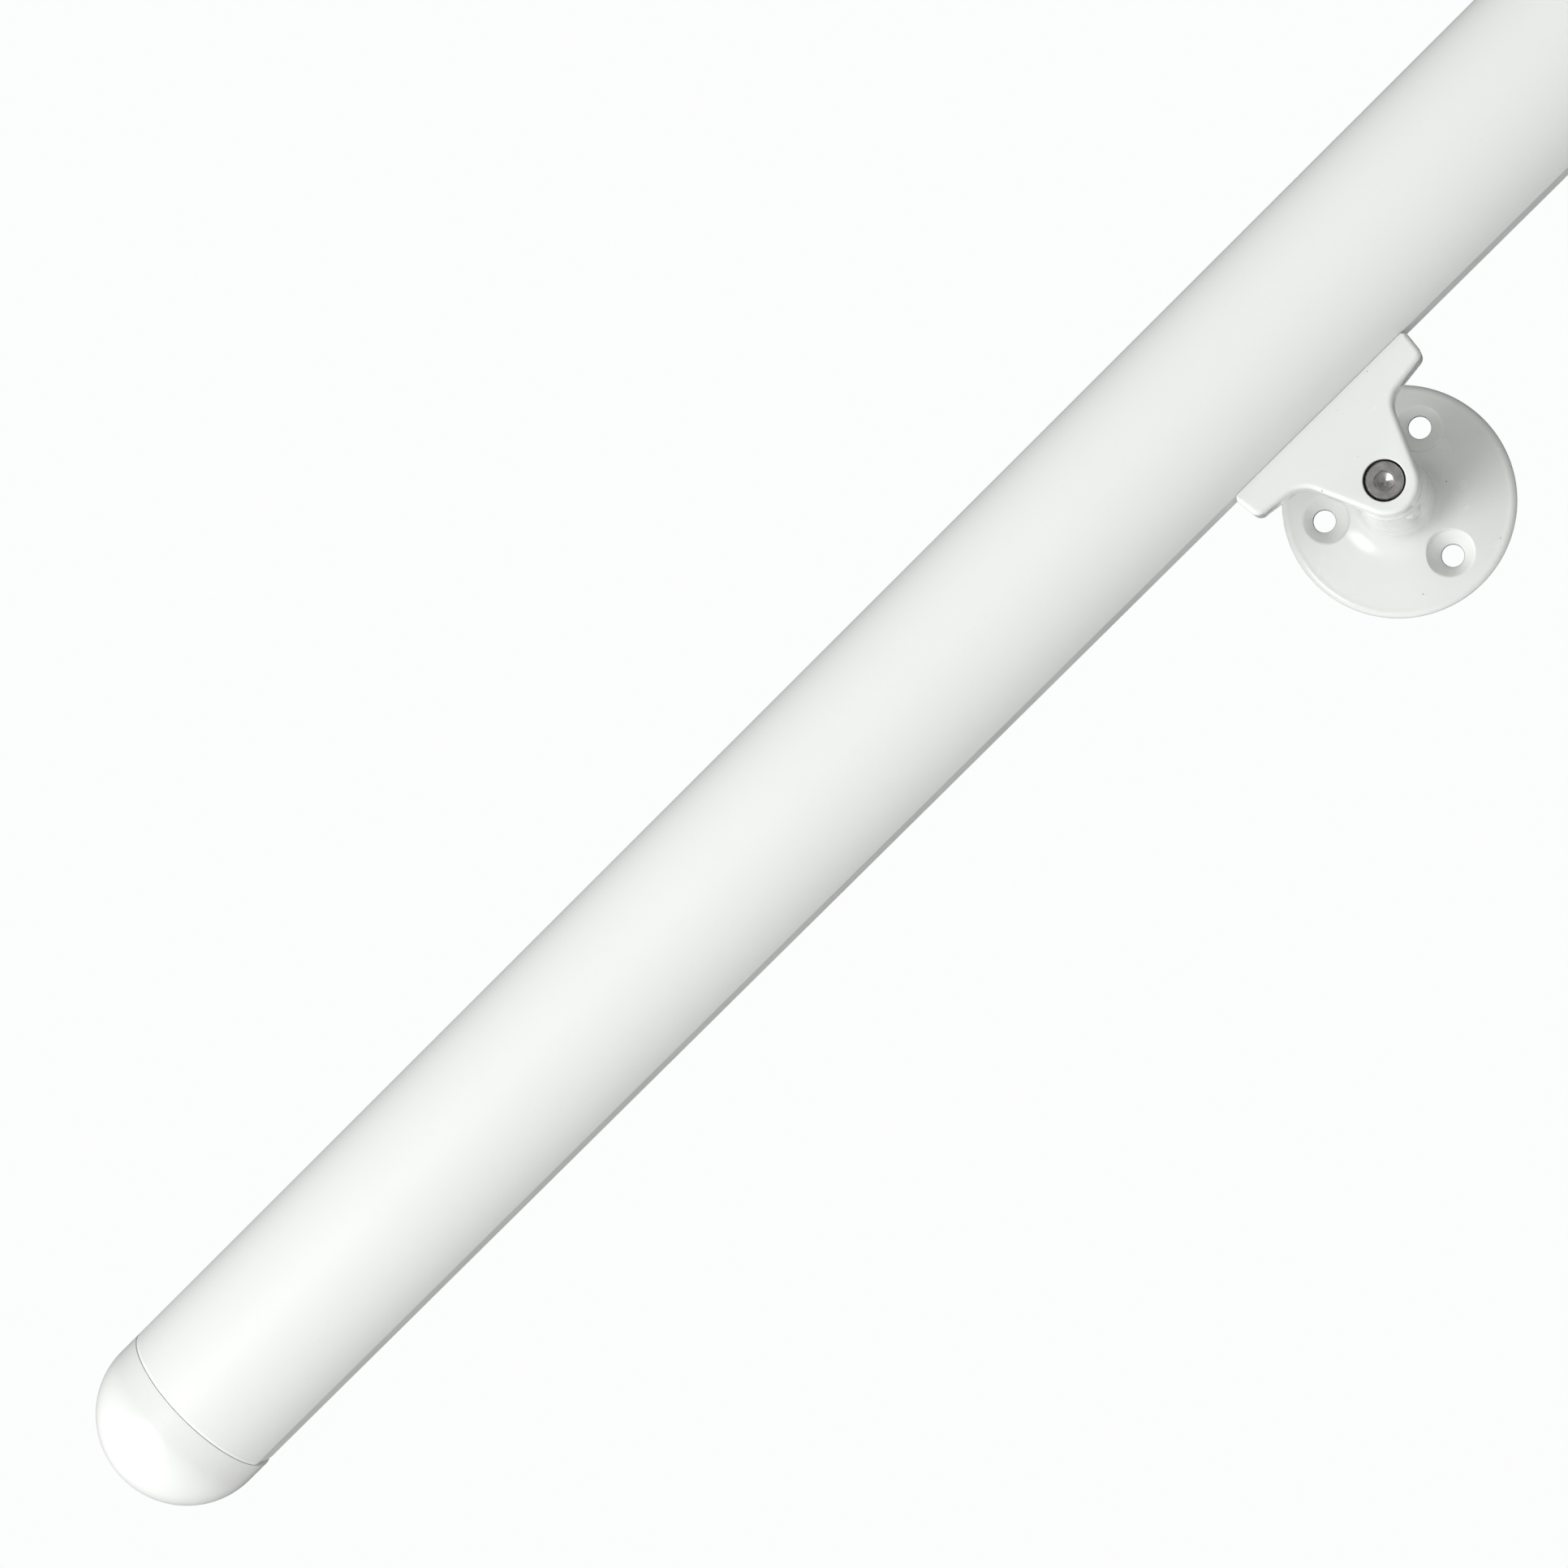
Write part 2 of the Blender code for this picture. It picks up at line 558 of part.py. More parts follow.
def build_wall_brackets(coat, stainless, polyamide):
    """What turns about each pivot: the wall flange, the bolt screwed into it and the washers."""
    flange = wall_flange_mesh()
    hole_boss = wall_hole_boss_mesh()
    wall_hole = wall_hole_mesh()
    bolt = pivot_bolt_mesh()
    socket = hex_socket_mesh()
    spring_washer = spring_washer_mesh()
    pivot_washer = pivot_washer_mesh()
    for side, sign in SIDES:
        pivot = empty(f"pivot_{side}", (sign * BRACKET_X, 0, 0), LIES_ALONG_Y)
        plate = place(f"wall_flange_{side}", flange, coat, pivot)
        for index in range(WALL_HOLE_COUNT):
            angle = WALL_HOLE_START + index * math.tau / WALL_HOLE_COUNT
            centre = (WALL_HOLE_PITCH_RADIUS * math.cos(angle), WALL_HOLE_PITCH_RADIUS * math.sin(angle), 0)
            combine(plate, f"wall_hole_boss_{side}_{index + 1}", hole_boss, centre, operation="UNION")
            combine(plate, f"wall_hole_{side}_{index + 1}", wall_hole, centre)
        screw = place(f"pivot_bolt_{side}", bolt, stainless, pivot)
        combine(screw, f"hex_socket_{side}", socket)
        place(f"spring_washer_{side}", spring_washer, stainless, pivot)
        place(f"pivot_washer_{side}", pivot_washer, polyamide, pivot)


def main():
    """Clear the scene and build the handrail."""
    for old in list(bpy.data.objects):
        bpy.data.objects.remove(old)
    coat = material("white_powder_coat", (0.82, 0.83, 0.815), 0.4, 0)
    stainless = material("stainless_steel", (0.52, 0.51, 0.49), 0.3, 1)
    zinc = material("zinc_plated_steel", (0.62, 0.63, 0.65), 0.35, 1)
    polyamide = material("black_polyamide", (0.03, 0.03, 0.032), 0.55, 0)
    rail_axis = empty("rail_axis", (0, -WALL_TO_RAIL_AXIS, PIVOT_TO_RAIL_AXIS))
    build_rail(rail_axis, coat)
    build_ends(rail_axis, coat, polyamide, zinc)
    build_saddles(rail_axis, coat, zinc)
    build_wall_brackets(coat, stainless, polyamide)


main()
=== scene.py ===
"""The looks of the wall handrail: fine meshes, finishes, studio light and camera round the CAD frame.

Frame: +X runs along the rail, +Y points into the wall and +Z is up. Bracket pieces are built about
their pivot, with their own +Z pointing out of the wall.
"""

import json
import math

import bmesh
import bpy
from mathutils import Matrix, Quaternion, Vector
from mathutils.geometry import delaunay_2d_cdt


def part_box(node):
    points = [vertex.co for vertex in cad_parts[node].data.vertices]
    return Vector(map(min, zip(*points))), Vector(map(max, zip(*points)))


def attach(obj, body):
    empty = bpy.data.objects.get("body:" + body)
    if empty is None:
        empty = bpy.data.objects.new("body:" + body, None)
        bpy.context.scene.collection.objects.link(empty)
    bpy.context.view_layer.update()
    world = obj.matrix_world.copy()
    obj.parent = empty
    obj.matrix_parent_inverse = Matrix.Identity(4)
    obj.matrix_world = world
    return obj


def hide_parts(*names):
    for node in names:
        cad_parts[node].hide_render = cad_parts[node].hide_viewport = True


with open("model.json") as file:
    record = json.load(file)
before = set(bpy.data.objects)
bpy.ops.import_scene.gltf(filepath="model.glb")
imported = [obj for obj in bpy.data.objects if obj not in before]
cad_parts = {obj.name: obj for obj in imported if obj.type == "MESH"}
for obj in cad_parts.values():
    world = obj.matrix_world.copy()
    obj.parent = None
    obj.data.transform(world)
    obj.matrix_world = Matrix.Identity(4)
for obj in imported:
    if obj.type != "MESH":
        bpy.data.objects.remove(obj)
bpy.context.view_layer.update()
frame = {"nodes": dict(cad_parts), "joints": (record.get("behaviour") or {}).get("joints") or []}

MM = 0.001
HOLD = 0.15 * MM               # keeps a flat face flat right up to its rounded edge
FINE_ROUND = 0.2 * MM
HOLE_MOUTH_ROUND = 0.3 * MM
DRILL_TIP = 1 * MM
CUT_OVERSHOOT = 1 * MM         # how far a cutter stands clear of what it cuts
ON_AXIS = HOLD / 10            # a profile point nearer its axis than this is a pole
JOIN_DISTANCE = HOLD / 100     # points of a plate nearer than this are one
WELD_DISTANCE = 0.002 * MM     # the same, for a mesh that a cutter has been through
ROUNDED_SHARP_ANGLE = math.radians(60)
CUT_SHARP_ANGLE = math.radians(35)
SIDES = {"left": -1, "right": 1}
AWAY_FROM_WALL = (math.radians(90), 0, 0)

# Fineness of the meshes
RAIL_STEPS = 160
TURN_STEPS = 192
SMALL_TURN_STEPS = 64
CORNER_STEPS = 6
ARC_SPACING = 0.6 * MM         # between the points of a large corner's arc
DOME_STEPS = 48
HOLE_STEPS = 96
PATCH_RINGS = 26
FLARE_STEPS = 16
NECK_SPACING = 0.45 * MM
THREAD_RINGS = 6               # for each turn of a thread
BACKDROP_STEPS = 48
FLOOR_STEPS = 96

# Rail and end caps
RAIL_RADIUS = 25 * MM
RAIL_WALL = 2.5 * MM
FLOOR_THICKNESS = 4 * MM
RAIL_CORNER_ROUND = 0.25 * MM
BORE_CORNER_ROUND = 0.5 * MM
RAIL_END_BEVEL = 0.8 * MM      # along the rail
RAIL_END_BEVEL_DEPTH = 0.22 * MM
RAIL_END_ROUND = 0.15 * MM
SEAM_GAP = 0.03 * MM
PILOT_RADIUS = 2.4 * MM
CAP_COLLAR = 7.1 * MM
CAP_WALL = 2.5 * MM
CAP_RIM_WALL = 1.1 * MM
CAP_RIM_DEPTH = 3 * MM
CAP_RIM_ROUND = 0.08 * MM
CAP_BOSS_RADIUS = 5.5 * MM
CAP_BOSS_SETBACK = 0.3 * MM    # how far short of the seam the boss ends
CAP_BOSS_HOLE_DEPTH = 18 * MM

# Saddle, measured down from the rail's flat
WING_DEPTH = 8.1 * MM
SADDLE_END_DRAFT = 0.9 * MM
WING_ROOT_HALF = 16.1 * MM
WING_ROOT_DEPTH = 9.9 * MM
ARM_TAPER = math.radians(23.5)
ARM_END_RADIUS = 8.7 * MM
ARM_ROOT_FILLET = 7 * MM
WING_CORNER_RADIUS = 2.4 * MM
SADDLE_TOP_CORNER_RADIUS = 1.6 * MM
SADDLE_EDGE_ROUND = 1.4 * MM
SADDLE_TOP_EDGE_ROUND = 0.12 * MM
COUNTERBORE_RADIUS = 5.6 * MM
COUNTERBORE_FLOOR = 72.8 * MM  # from the wall
BOLT_HOLE_RADIUS = 3.3 * MM

# Wall flange, measured out from the wall
FLANGE_RADIUS = 32.5 * MM
FLANGE_RIM_ROUND = 2 * MM
FLANGE_RIM_HEIGHT = 3.6 * MM
FLARE_RADIUS = 18 * MM
FLARE_HEIGHT = 6.06 * MM
NECK_BASE_RADIUS = 10.6 * MM
NECK_BASE_HEIGHT = 14 * MM
NECK_END_RADIUS = 9.4 * MM
NECK_END_ROUND = 0.8 * MM
NECK_CORE_RADIUS = 6.5 * MM
NECK_CORE_DEPTH = 46 * MM
NECK_CORE_DRAFT = 1 * MM
TAPPED_DEPTH = 15 * MM
TAP_MOUTH_ROUND = 0.4 * MM
BACK_RECESS_DEPTH = 1.2 * MM
BACK_RIM_WIDTH = 3 * MM
BACK_HUB_RADIUS = 9.5 * MM
BACK_EDGE_ROUND = 0.25 * MM
WALL_HOLE_COUNT = 3
WALL_HOLE_PITCH_RADIUS = 21.3 * MM
WALL_HOLE_RADIUS = 3.15 * MM
WALL_HOLE_START = math.radians(30)
WALL_HOLE_BOSS_RADIUS = 6 * MM
COUNTERSINK_RADIUS = 6.9 * MM
COUNTERSINK_FACE = 5.4 * MM
COUNTERSINK_SOFTNESS = 0.5 * MM
COUNTERSINK_WALL_SLOPE = 3.7
HOLE_PATCH_RADIUS = 7.6 * MM
HOLE_LIP = 0.35 * MM
HOLE_LIP_ROUND = 0.7 * MM
# Painted shade: how far past a wall hole's wall the dark tone that stands in for its shadow reaches
HOLE_SHADE_LIP = 0.1 * MM
PLATE_INNER_RADIUS = 13.5 * MM
PLATE_SPACING = 0.7 * MM
LUG_HEIGHT_ON_NECK = 58 * MM   # the small cast lug under the neck, just behind the saddle
LUG_HALF_WIDTH = 0.7 * MM
LUG_HALF_LENGTH = 1.5 * MM
LUG_SIDE_SLOPE = 2 * MM
LUG_END_SLOPE = 4 * MM
LUG_RISE = 1.1 * MM
LUG_ANGLE = math.pi * 1.5
LUG_DIMPLE_OFFSET = 1 * MM     # towards the saddle
LUG_DIMPLE_RADIUS = 1.1 * MM
LUG_DIMPLE_FADE = 1.5          # where the dimple runs out, in its radii
LUG_DIMPLE_SHARE = 0.8         # its depth as a share of the lug's rise

# Bolt, washers and screws
BOLT_RADIUS = 3 * MM
BOLT_HEAD_RADIUS = 5.1 * MM
BOLT_HEAD_HEIGHT = 6 * MM
BOLT_HEAD_CHAMFER = 0.35 * MM
BOLT_PITCH = 1 * MM
BOLT_THREAD_DEPTH = 0.5 * MM
HEX_ACROSS_FLATS = 5 * MM
HEX_CORNER_RADIUS = HEX_ACROSS_FLATS / math.sqrt(3)
HEX_DEPTH = 2.6 * MM
HEX_PIT_SLOPE = math.radians(22)
HEX_PIT_CORE_RADIUS = 0.5 * MM
HEX_PIT_CORE_SLOPE = math.radians(10)
SPRING_WASHER_RADIUS = 4.95 * MM
SPRING_WASHER_SLIT = math.radians(12)
SPRING_WASHER_LIFT = 0.12 * MM
PIVOT_WASHER_RADIUS = 8.6 * MM
SCREW_RADIUS = 2.1 * MM
SCREW_HEAD_RADIUS = 4 * MM
SCREW_HEAD_FIT = 0.3 * MM      # between the head and its countersink
SCREW_HEAD_ROUND = 0.15 * MM
SCREW_NECK_ROUND = 0.3 * MM
SCREW_HOLE_DEPTH = 20 * MM
SPOT_FACE_DEPTH = 6 * MM       # cleared below the head
SCREW_TIP = 3 * MM
SCREW_PITCH = 1.4 * MM
SCREW_THREAD_DEPTH = 0.45 * MM
CROSS_RECESS_SPAN = 4.4 * MM
CROSS_RECESS_WIDTH = 1.1 * MM
CROSS_RECESS_DEPTH = 1.5 * MM
CROSS_RECESS_TAPER = 0.55
CROSS_OVERSHOOT = 0.5 * MM

# Where the CAD frame puts things
RAIL_LOW, RAIL_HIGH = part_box("rail_profile")
RAIL_AXIS = Vector((0, (RAIL_LOW.y + RAIL_HIGH.y) / 2, RAIL_HIGH.z - RAIL_RADIUS))
FLAT_DROP = RAIL_AXIS.z - RAIL_LOW.z
BORE_RADIUS = RAIL_RADIUS - RAIL_WALL
BORE_FLOOR = FLAT_DROP - FLOOR_THICKNESS
PIVOTS = {joint["child"]: Vector(joint["pos_m"]) for joint in frame["joints"]}
SADDLE_LOW, SADDLE_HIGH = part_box("saddle_left")
NECK_TOP = -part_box("wall_flange_left")[0].y
WALL_HOLES = [
    (WALL_HOLE_PITCH_RADIUS * math.cos(angle), WALL_HOLE_PITCH_RADIUS * math.sin(angle))
    for angle in (WALL_HOLE_START + turn * math.tau / WALL_HOLE_COUNT for turn in range(WALL_HOLE_COUNT))
]


# Outlines

def arc(centre, radius_x, radius_y, start, end, steps):
    """Points along an arc or part of an ellipse, both ends included; the angles are in radians."""
    points = []
    for step in range(steps + 1):
        angle = start + (end - start) * step / steps
        across = centre[0] + radius_x * math.cos(angle)
        up = centre[1] + radius_y * math.sin(angle)
        points.append(Vector((across, up)))
    return points


def rounded_corner(before, corner, after):
    """The arc that rounds one (x, y, radius) corner between its two neighbours."""
    radius = corner[2]
    point = Vector(corner[:2])
    if radius == 0:
        return [point]
    back = (Vector(before[:2]) - point).normalized()
    ahead = (Vector(after[:2]) - point).normalized()
    half_angle = back.angle(ahead) / 2
    middle = point + (back + ahead).normalized() * radius / math.sin(half_angle)
    first = point + back * radius / math.tan(half_angle) - middle
    last = point + ahead * radius / math.tan(half_angle) - middle
    turn = math.atan2(first.x * last.y - first.y * last.x, first.dot(last))
    start = math.atan2(first.y, first.x)
    steps = max(CORNER_STEPS, round(radius * abs(turn) / ARC_SPACING))
    return arc(middle, radius, radius, start, start + turn, steps)


def softened(corners, closed=False):
    """An outline with each (x, y, radius) corner rounded, and its straights held flat at both ends."""
    count = len(corners)
    runs = [rounded_corner(corners[i - 1], corners[i], corners[(i + 1) % count]) for i in range(count)]
    followers = runs[1:] + runs[:1]
    if not closed:
        followers = followers[:-1]
    outline = []
    for run, follower in zip(runs, followers):
        outline += run
        gap = follower[0] - run[-1]
        if gap.length > 4 * HOLD:
            step = gap.normalized() * HOLD
            outline += [run[-1] + step, follower[0] - step]
    if not closed:
        outline += runs[-1]
    return outline


def circle(radius, steps, centre=(0, 0)):
    """Evenly spaced points on a circle, the first one on its +X side."""
    return arc(centre, radius, radius, 0, math.tau * (steps - 1) / steps, steps - 1)


# Mesh building

def ring(bm, points, heights):
    """One ring of vertices; heights is one number or one for each point."""
    if isinstance(heights, (int, float)):
        heights = [heights] * len(points)
    return [bm.verts.new((point[0], point[1], height)) for point, height in zip(points, heights)]


def skin(bm, rings, looped=False):
    """Join each ring of vertices to the next with faces; a ring of one vertex is a pole."""
    pairs = list(zip(rings, rings[1:]))
    if looped:
        pairs.append((rings[-1], rings[0]))
    for first, second in pairs:
        count = max(len(first), len(second))
        for index in range(count):
            after = index + 1
            corners = [
                first[index % len(first)],
                first[after % len(first)],
                second[after % len(second)],
                second[index % len(second)],
            ]
            bm.faces.new(list(dict.fromkeys(corners)))


def fill(bm, *loops):
    """Fill the flat region between closed loops of vertices: an outer one and its holes."""
    edges = []
    for loop in loops:
        for first, second in zip(loop, loop[1:] + loop[:1]):
            edges.append(bm.edges.get((first, second)) or bm.edges.new((first, second)))
    bmesh.ops.triangle_fill(bm, edges=edges, use_beauty=True)


def finished_mesh(name, bm, sharp_angle=None):
    """Close a bmesh into a smooth-shaded mesh with its faces pointing out."""
    bmesh.ops.recalc_face_normals(bm, faces=bm.faces)
    mesh = bpy.data.meshes.new(name)
    bm.to_mesh(mesh)
    bm.free()
    mesh.shade_smooth()
    if sharp_angle is not None:
        mesh.set_sharp_from_angle(angle=sharp_angle)
    return mesh


def lathe_rings(bm, profile, steps):
    """The rings of a profile of (radius, height) points turned about +Z."""
    rings = []
    for radius, height in profile:
        points = [(0, 0)] if radius < ON_AXIS else circle(radius, steps)
        rings.append(ring(bm, points, height))
    return rings


def lathe(name, profile, closed=False, steps=TURN_STEPS):
    """Turn a profile of (radius, height) points about +Z."""
    bm = bmesh.new()
    skin(bm, lathe_rings(bm, profile, steps), closed)
    return finished_mesh(name, bm)


def prism(name, outline, low, high, taper=1):
    """A plain extruded outline, used to cut with; its far end is scaled by taper."""
    bm = bmesh.new()
    near = ring(bm, outline, low)
    far = ring(bm, [point * taper for point in outline], high)
    skin(bm, [near, far])
    bm.faces.new(near)
    bm.faces.new(far)
    return finished_mesh(name, bm)


def weld(mesh):
    """Merge the near-coincident points that a cut leaves, and drop the faces they pinch shut."""
    bm = bmesh.new()
    bm.from_mesh(mesh)
    bmesh.ops.remove_doubles(bm, verts=bm.verts, dist=WELD_DISTANCE)
    bmesh.ops.triangulate(bm, faces=[face for face in bm.faces if len(face.verts) > 4])
    bmesh.ops.dissolve_degenerate(bm, edges=bm.edges, dist=WELD_DISTANCE)
    bm.to_mesh(mesh)
    bm.free()


def carved(mesh, *cutters):
    """Cut each (mesh, location) out of a mesh and return the result."""
    stock = bpy.data.objects.new("stock", mesh)
    bpy.context.scene.collection.objects.link(stock)
    tools = []
    for cutter, location in cutters:
        tool = bpy.data.objects.new("tool", cutter)
        tool.location = location
        bpy.context.scene.collection.objects.link(tool)
        tools.append(tool)
        cut = stock.modifiers.new("cut", "BOOLEAN")
        cut.operation = "DIFFERENCE"
        cut.solver = "EXACT"
        cut.object = tool
    shown = stock.evaluated_get(bpy.context.evaluated_depsgraph_get())
    result = bpy.data.meshes.new_from_object(shown)
    result.name = mesh.name
    weld(result)
    result.set_sharp_from_angle(angle=CUT_SHARP_ANGLE)
    for scratch in [stock, *tools]:
        bpy.data.objects.remove(scratch)
    return result


def threaded_rings(bm, radius, depth, pitch, low, high):
    """Rings of a screw thread, from low up to high, fading out at both ends."""
    rings = []
    count = round((high - low) / pitch * THREAD_RINGS)
    for index in range(count + 1):
        height = low + (high - low) * index / count
        fade = min(1, (height - low) / pitch, (high - height) / pitch)
        points = []
        for step in range(SMALL_TURN_STEPS):
            angle = math.tau * step / SMALL_TURN_STEPS
            phase = (height / pitch - angle / math.tau) % 1
            crest = 1 - abs(2 * phase - 1)
            reach = radius - depth * fade * (1 - crest)
            points.append((reach * math.cos(angle), reach * math.sin(angle)))
        rings.append(ring(bm, points, height))
    return rings


# Rail and caps

def flatted_round(radius, drop, corner_round):
    """A circle cut off by a flat at the bottom, as (y, z) points; the two corners are rounded."""
    side = math.sqrt((radius - corner_round)**2 - (drop - corner_round)**2)
    tilt = math.atan2(side, drop - corner_round)
    down = -math.pi / 2
    height = corner_round - drop
    right = arc((side, height), corner_round, corner_round, down, down + tilt, CORNER_STEPS)
    around = arc((0, 0), radius, radius, down + tilt, down + math.tau - tilt, RAIL_STEPS)[1:-1]
    left = arc((-side, height), corner_round, corner_round, down - tilt, down, CORNER_STEPS)
    held = [Vector((-side + HOLD, -drop)), Vector((side - HOLD, -drop))]
    return right + around + left + held


def rail_mesh():
    """The rail: the profile's wall swept along X, with softly rounded ends and its pilot holes."""
    half_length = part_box("end_cap_right")[0].x - SEAM_GAP
    outer = flatted_round(RAIL_RADIUS, FLAT_DROP, RAIL_CORNER_ROUND)
    inner = flatted_round(BORE_RADIUS, BORE_FLOOR, BORE_CORNER_ROUND)
    bevel_start = half_length - RAIL_END_BEVEL
    corners = [
        (-half_length, RAIL_END_BEVEL_DEPTH, 0),
        (-bevel_start, 0, RAIL_END_ROUND),
        (bevel_start, 0, RAIL_END_ROUND),
        (half_length, RAIL_END_BEVEL_DEPTH, 0),
        (half_length, RAIL_WALL, RAIL_END_ROUND),
        (-half_length, RAIL_WALL, RAIL_END_ROUND),
    ]
    bm = bmesh.new()
    rings = []
    for x, depth in softened(corners, closed=True):
        share = depth / RAIL_WALL
        points = [near.lerp(far, share) for near, far in zip(outer, inner)]
        rings.append([bm.verts.new((x, y, z)) for y, z in points])
    skin(bm, rings, looped=True)
    pilot_low = -FLAT_DROP - CUT_OVERSHOOT
    pilot_high = -BORE_FLOOR + CUT_OVERSHOOT
    pilot = prism("pilot", circle(PILOT_RADIUS, SMALL_TURN_STEPS), pilot_low, pilot_high)
    screws = [name for name in frame["nodes"] if name.startswith("saddle_screw_")]
    places = [(sum(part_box(name), Vector()).x / 2, 0, 0) for name in screws]
    return carved(finished_mesh("rail_profile", bm), *[(pilot, place) for place in places])


def end_cap_mesh():
    """A hollow dome from its seam at z = 0 up to its tip, with a screw boss down the middle."""
    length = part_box("end_cap_right")[1].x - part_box("end_cap_right")[0].x
    dome = length - CAP_COLLAR
    bore = RAIL_RADIUS - CAP_WALL
    boss_angle = math.acos(CAP_BOSS_RADIUS / bore)
    outside = arc((0, CAP_COLLAR), RAIL_RADIUS, dome, math.pi / 2, 0, DOME_STEPS)
    rim = softened([
        (RAIL_RADIUS, CAP_COLLAR, 0),
        (RAIL_RADIUS, 0, CAP_RIM_ROUND),
        (RAIL_RADIUS - CAP_RIM_WALL, 0, CAP_RIM_ROUND),
        (RAIL_RADIUS - CAP_RIM_WALL, CAP_RIM_DEPTH, CAP_RIM_ROUND),
        (bore, CAP_RIM_DEPTH, CAP_RIM_ROUND),
        (bore, CAP_COLLAR, 0),
    ])
    inside = arc((0, CAP_COLLAR), bore, dome - CAP_WALL, 0, boss_angle, DOME_STEPS // 2)
    boss = softened([
        (CAP_BOSS_RADIUS, inside[-1].y, 0),
        (CAP_BOSS_RADIUS, CAP_BOSS_SETBACK, FINE_ROUND),
        (PILOT_RADIUS, CAP_BOSS_SETBACK, FINE_ROUND),
        (PILOT_RADIUS, CAP_BOSS_HOLE_DEPTH, 0),
    ])
    tip = [Vector((0, CAP_BOSS_HOLE_DEPTH + DRILL_TIP))]
    return lathe("end_cap", outside + rim[1:-1] + inside + boss[1:] + tip)


# Saddle

def saddle_outline():
    """Two wings under the rail and one arm down round the pivot, in x and height above the pivot."""
    flat = RAIL_LOW.z - PIVOTS["wall_bracket_left"].z
    half_length = (SADDLE_HIGH.x - SADDLE_LOW.x) / 2
    arm_point = WING_ROOT_DEPTH + WING_ROOT_HALF / math.tan(ARM_TAPER)
    half = [
        (half_length, flat - SEAM_GAP, SADDLE_TOP_CORNER_RADIUS),
        (half_length - SADDLE_END_DRAFT, flat - WING_DEPTH, WING_CORNER_RADIUS),
        (WING_ROOT_HALF, flat - WING_ROOT_DEPTH, ARM_ROOT_FILLET),
    ]
    point = (0, flat - arm_point, ARM_END_RADIUS)
    mirrored = [(-x, height, radius) for x, height, radius in reversed(half)]
    return softened(half + [point] + mirrored, closed=True)


def inward_normals(outline):
    """The direction into the shape at each point of a clockwise outline."""
    normals = []
    for index, point in enumerate(outline):
        along = outline[(index + 1) % len(outline)] - outline[index - 1]
        normals.append(Vector((along.y, -along.x)).normalized())
    return normals


def saddle_side_rings(bm, outline, low, high):
    """The saddle's sides from its back face to its front face; the edges at the top stay tighter."""
    top = max(point.y for point in outline)
    rounds = [min(SADDLE_EDGE_ROUND, SADDLE_TOP_EDGE_ROUND + top - point.y) for point in outline]
    normals = inward_normals(outline)
    sweep = [math.pi / 2 * step / CORNER_STEPS for step in range(CORNER_STEPS + 1)]
    front = [(1 - math.cos(angle), 1 - math.sin(angle)) for angle in sweep]
    levels = [(inset, drop, high, -1) for inset, drop in front]
    levels = [(inset, drop, low, 1) for inset, drop in reversed(front)] + levels
    rings = []
    for inset, drop, face, way in levels:
        points = [point + normal * inset * r for point, normal, r in zip(outline, normals, rounds)]
        rings.append(ring(bm, points, [face + way * drop * r for r in rounds]))
    held = [point + normal * (r + HOLD) for point, normal, r in zip(outline, normals, rounds)]
    return [ring(bm, held, low)] + rings + [ring(bm, held, high)]


def saddle_mesh():
    """The saddle casting, with its counterbored pivot hole and two countersunk screw holes."""
    low, high = -SADDLE_HIGH.y, -SADDLE_LOW.y
    bm = bmesh.new()
    sides = saddle_side_rings(bm, saddle_outline(), low, high)
    hole = lathe_rings(bm, softened([
        (COUNTERBORE_RADIUS + 2 * HOLD, high, 0),
        (COUNTERBORE_RADIUS, high, HOLE_MOUTH_ROUND),
        (COUNTERBORE_RADIUS, COUNTERBORE_FLOOR, FINE_ROUND),
        (BOLT_HOLE_RADIUS, COUNTERBORE_FLOOR, FINE_ROUND),
        (BOLT_HOLE_RADIUS, low, HOLE_MOUTH_ROUND),
        (BOLT_HOLE_RADIUS + 4 * HOLD, low, 0),
    ]), HOLE_STEPS)
    skin(bm, sides)
    skin(bm, hole)
    fill(bm, sides[-1], hole[0])
    fill(bm, sides[0], hole[-1])
    pivot = PIVOTS["wall_bracket_left"]
    holes = []
    for name in ("saddle_screw_left_outer", "saddle_screw_left_inner"):
        screw_low, screw_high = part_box(name)
        middle = (screw_low + screw_high) / 2 - pivot
        holes.append((screw_hole_mesh(), (middle.x, screw_low.z, -middle.y)))
    return carved(finished_mesh("saddle", bm), *holes)


def screw_hole_mesh():
    """A countersunk hole up through a wing, from its spot face; it stands along +Y."""
    mouth = SCREW_HEAD_RADIUS + SCREW_HEAD_FIT
    profile = [
        (0, -SPOT_FACE_DEPTH),
        (mouth, -SPOT_FACE_DEPTH),
        (mouth, 0),
        (PILOT_RADIUS, mouth - PILOT_RADIUS),
        (PILOT_RADIUS, SCREW_HOLE_DEPTH),
        (0, SCREW_HOLE_DEPTH),
    ]
    mesh = lathe("screw_hole", profile, steps=SMALL_TURN_STEPS)
    mesh.transform(Quaternion((1, 0, 0), math.radians(-90)).to_matrix().to_4x4())
    return mesh


# Wall flange

def smooth_least(first, second, softness):
    """The lesser of two heights, with the crossing rounded off."""
    overlap = max(softness - abs(first - second), 0) / softness
    return min(first, second) - overlap * overlap * softness / 4


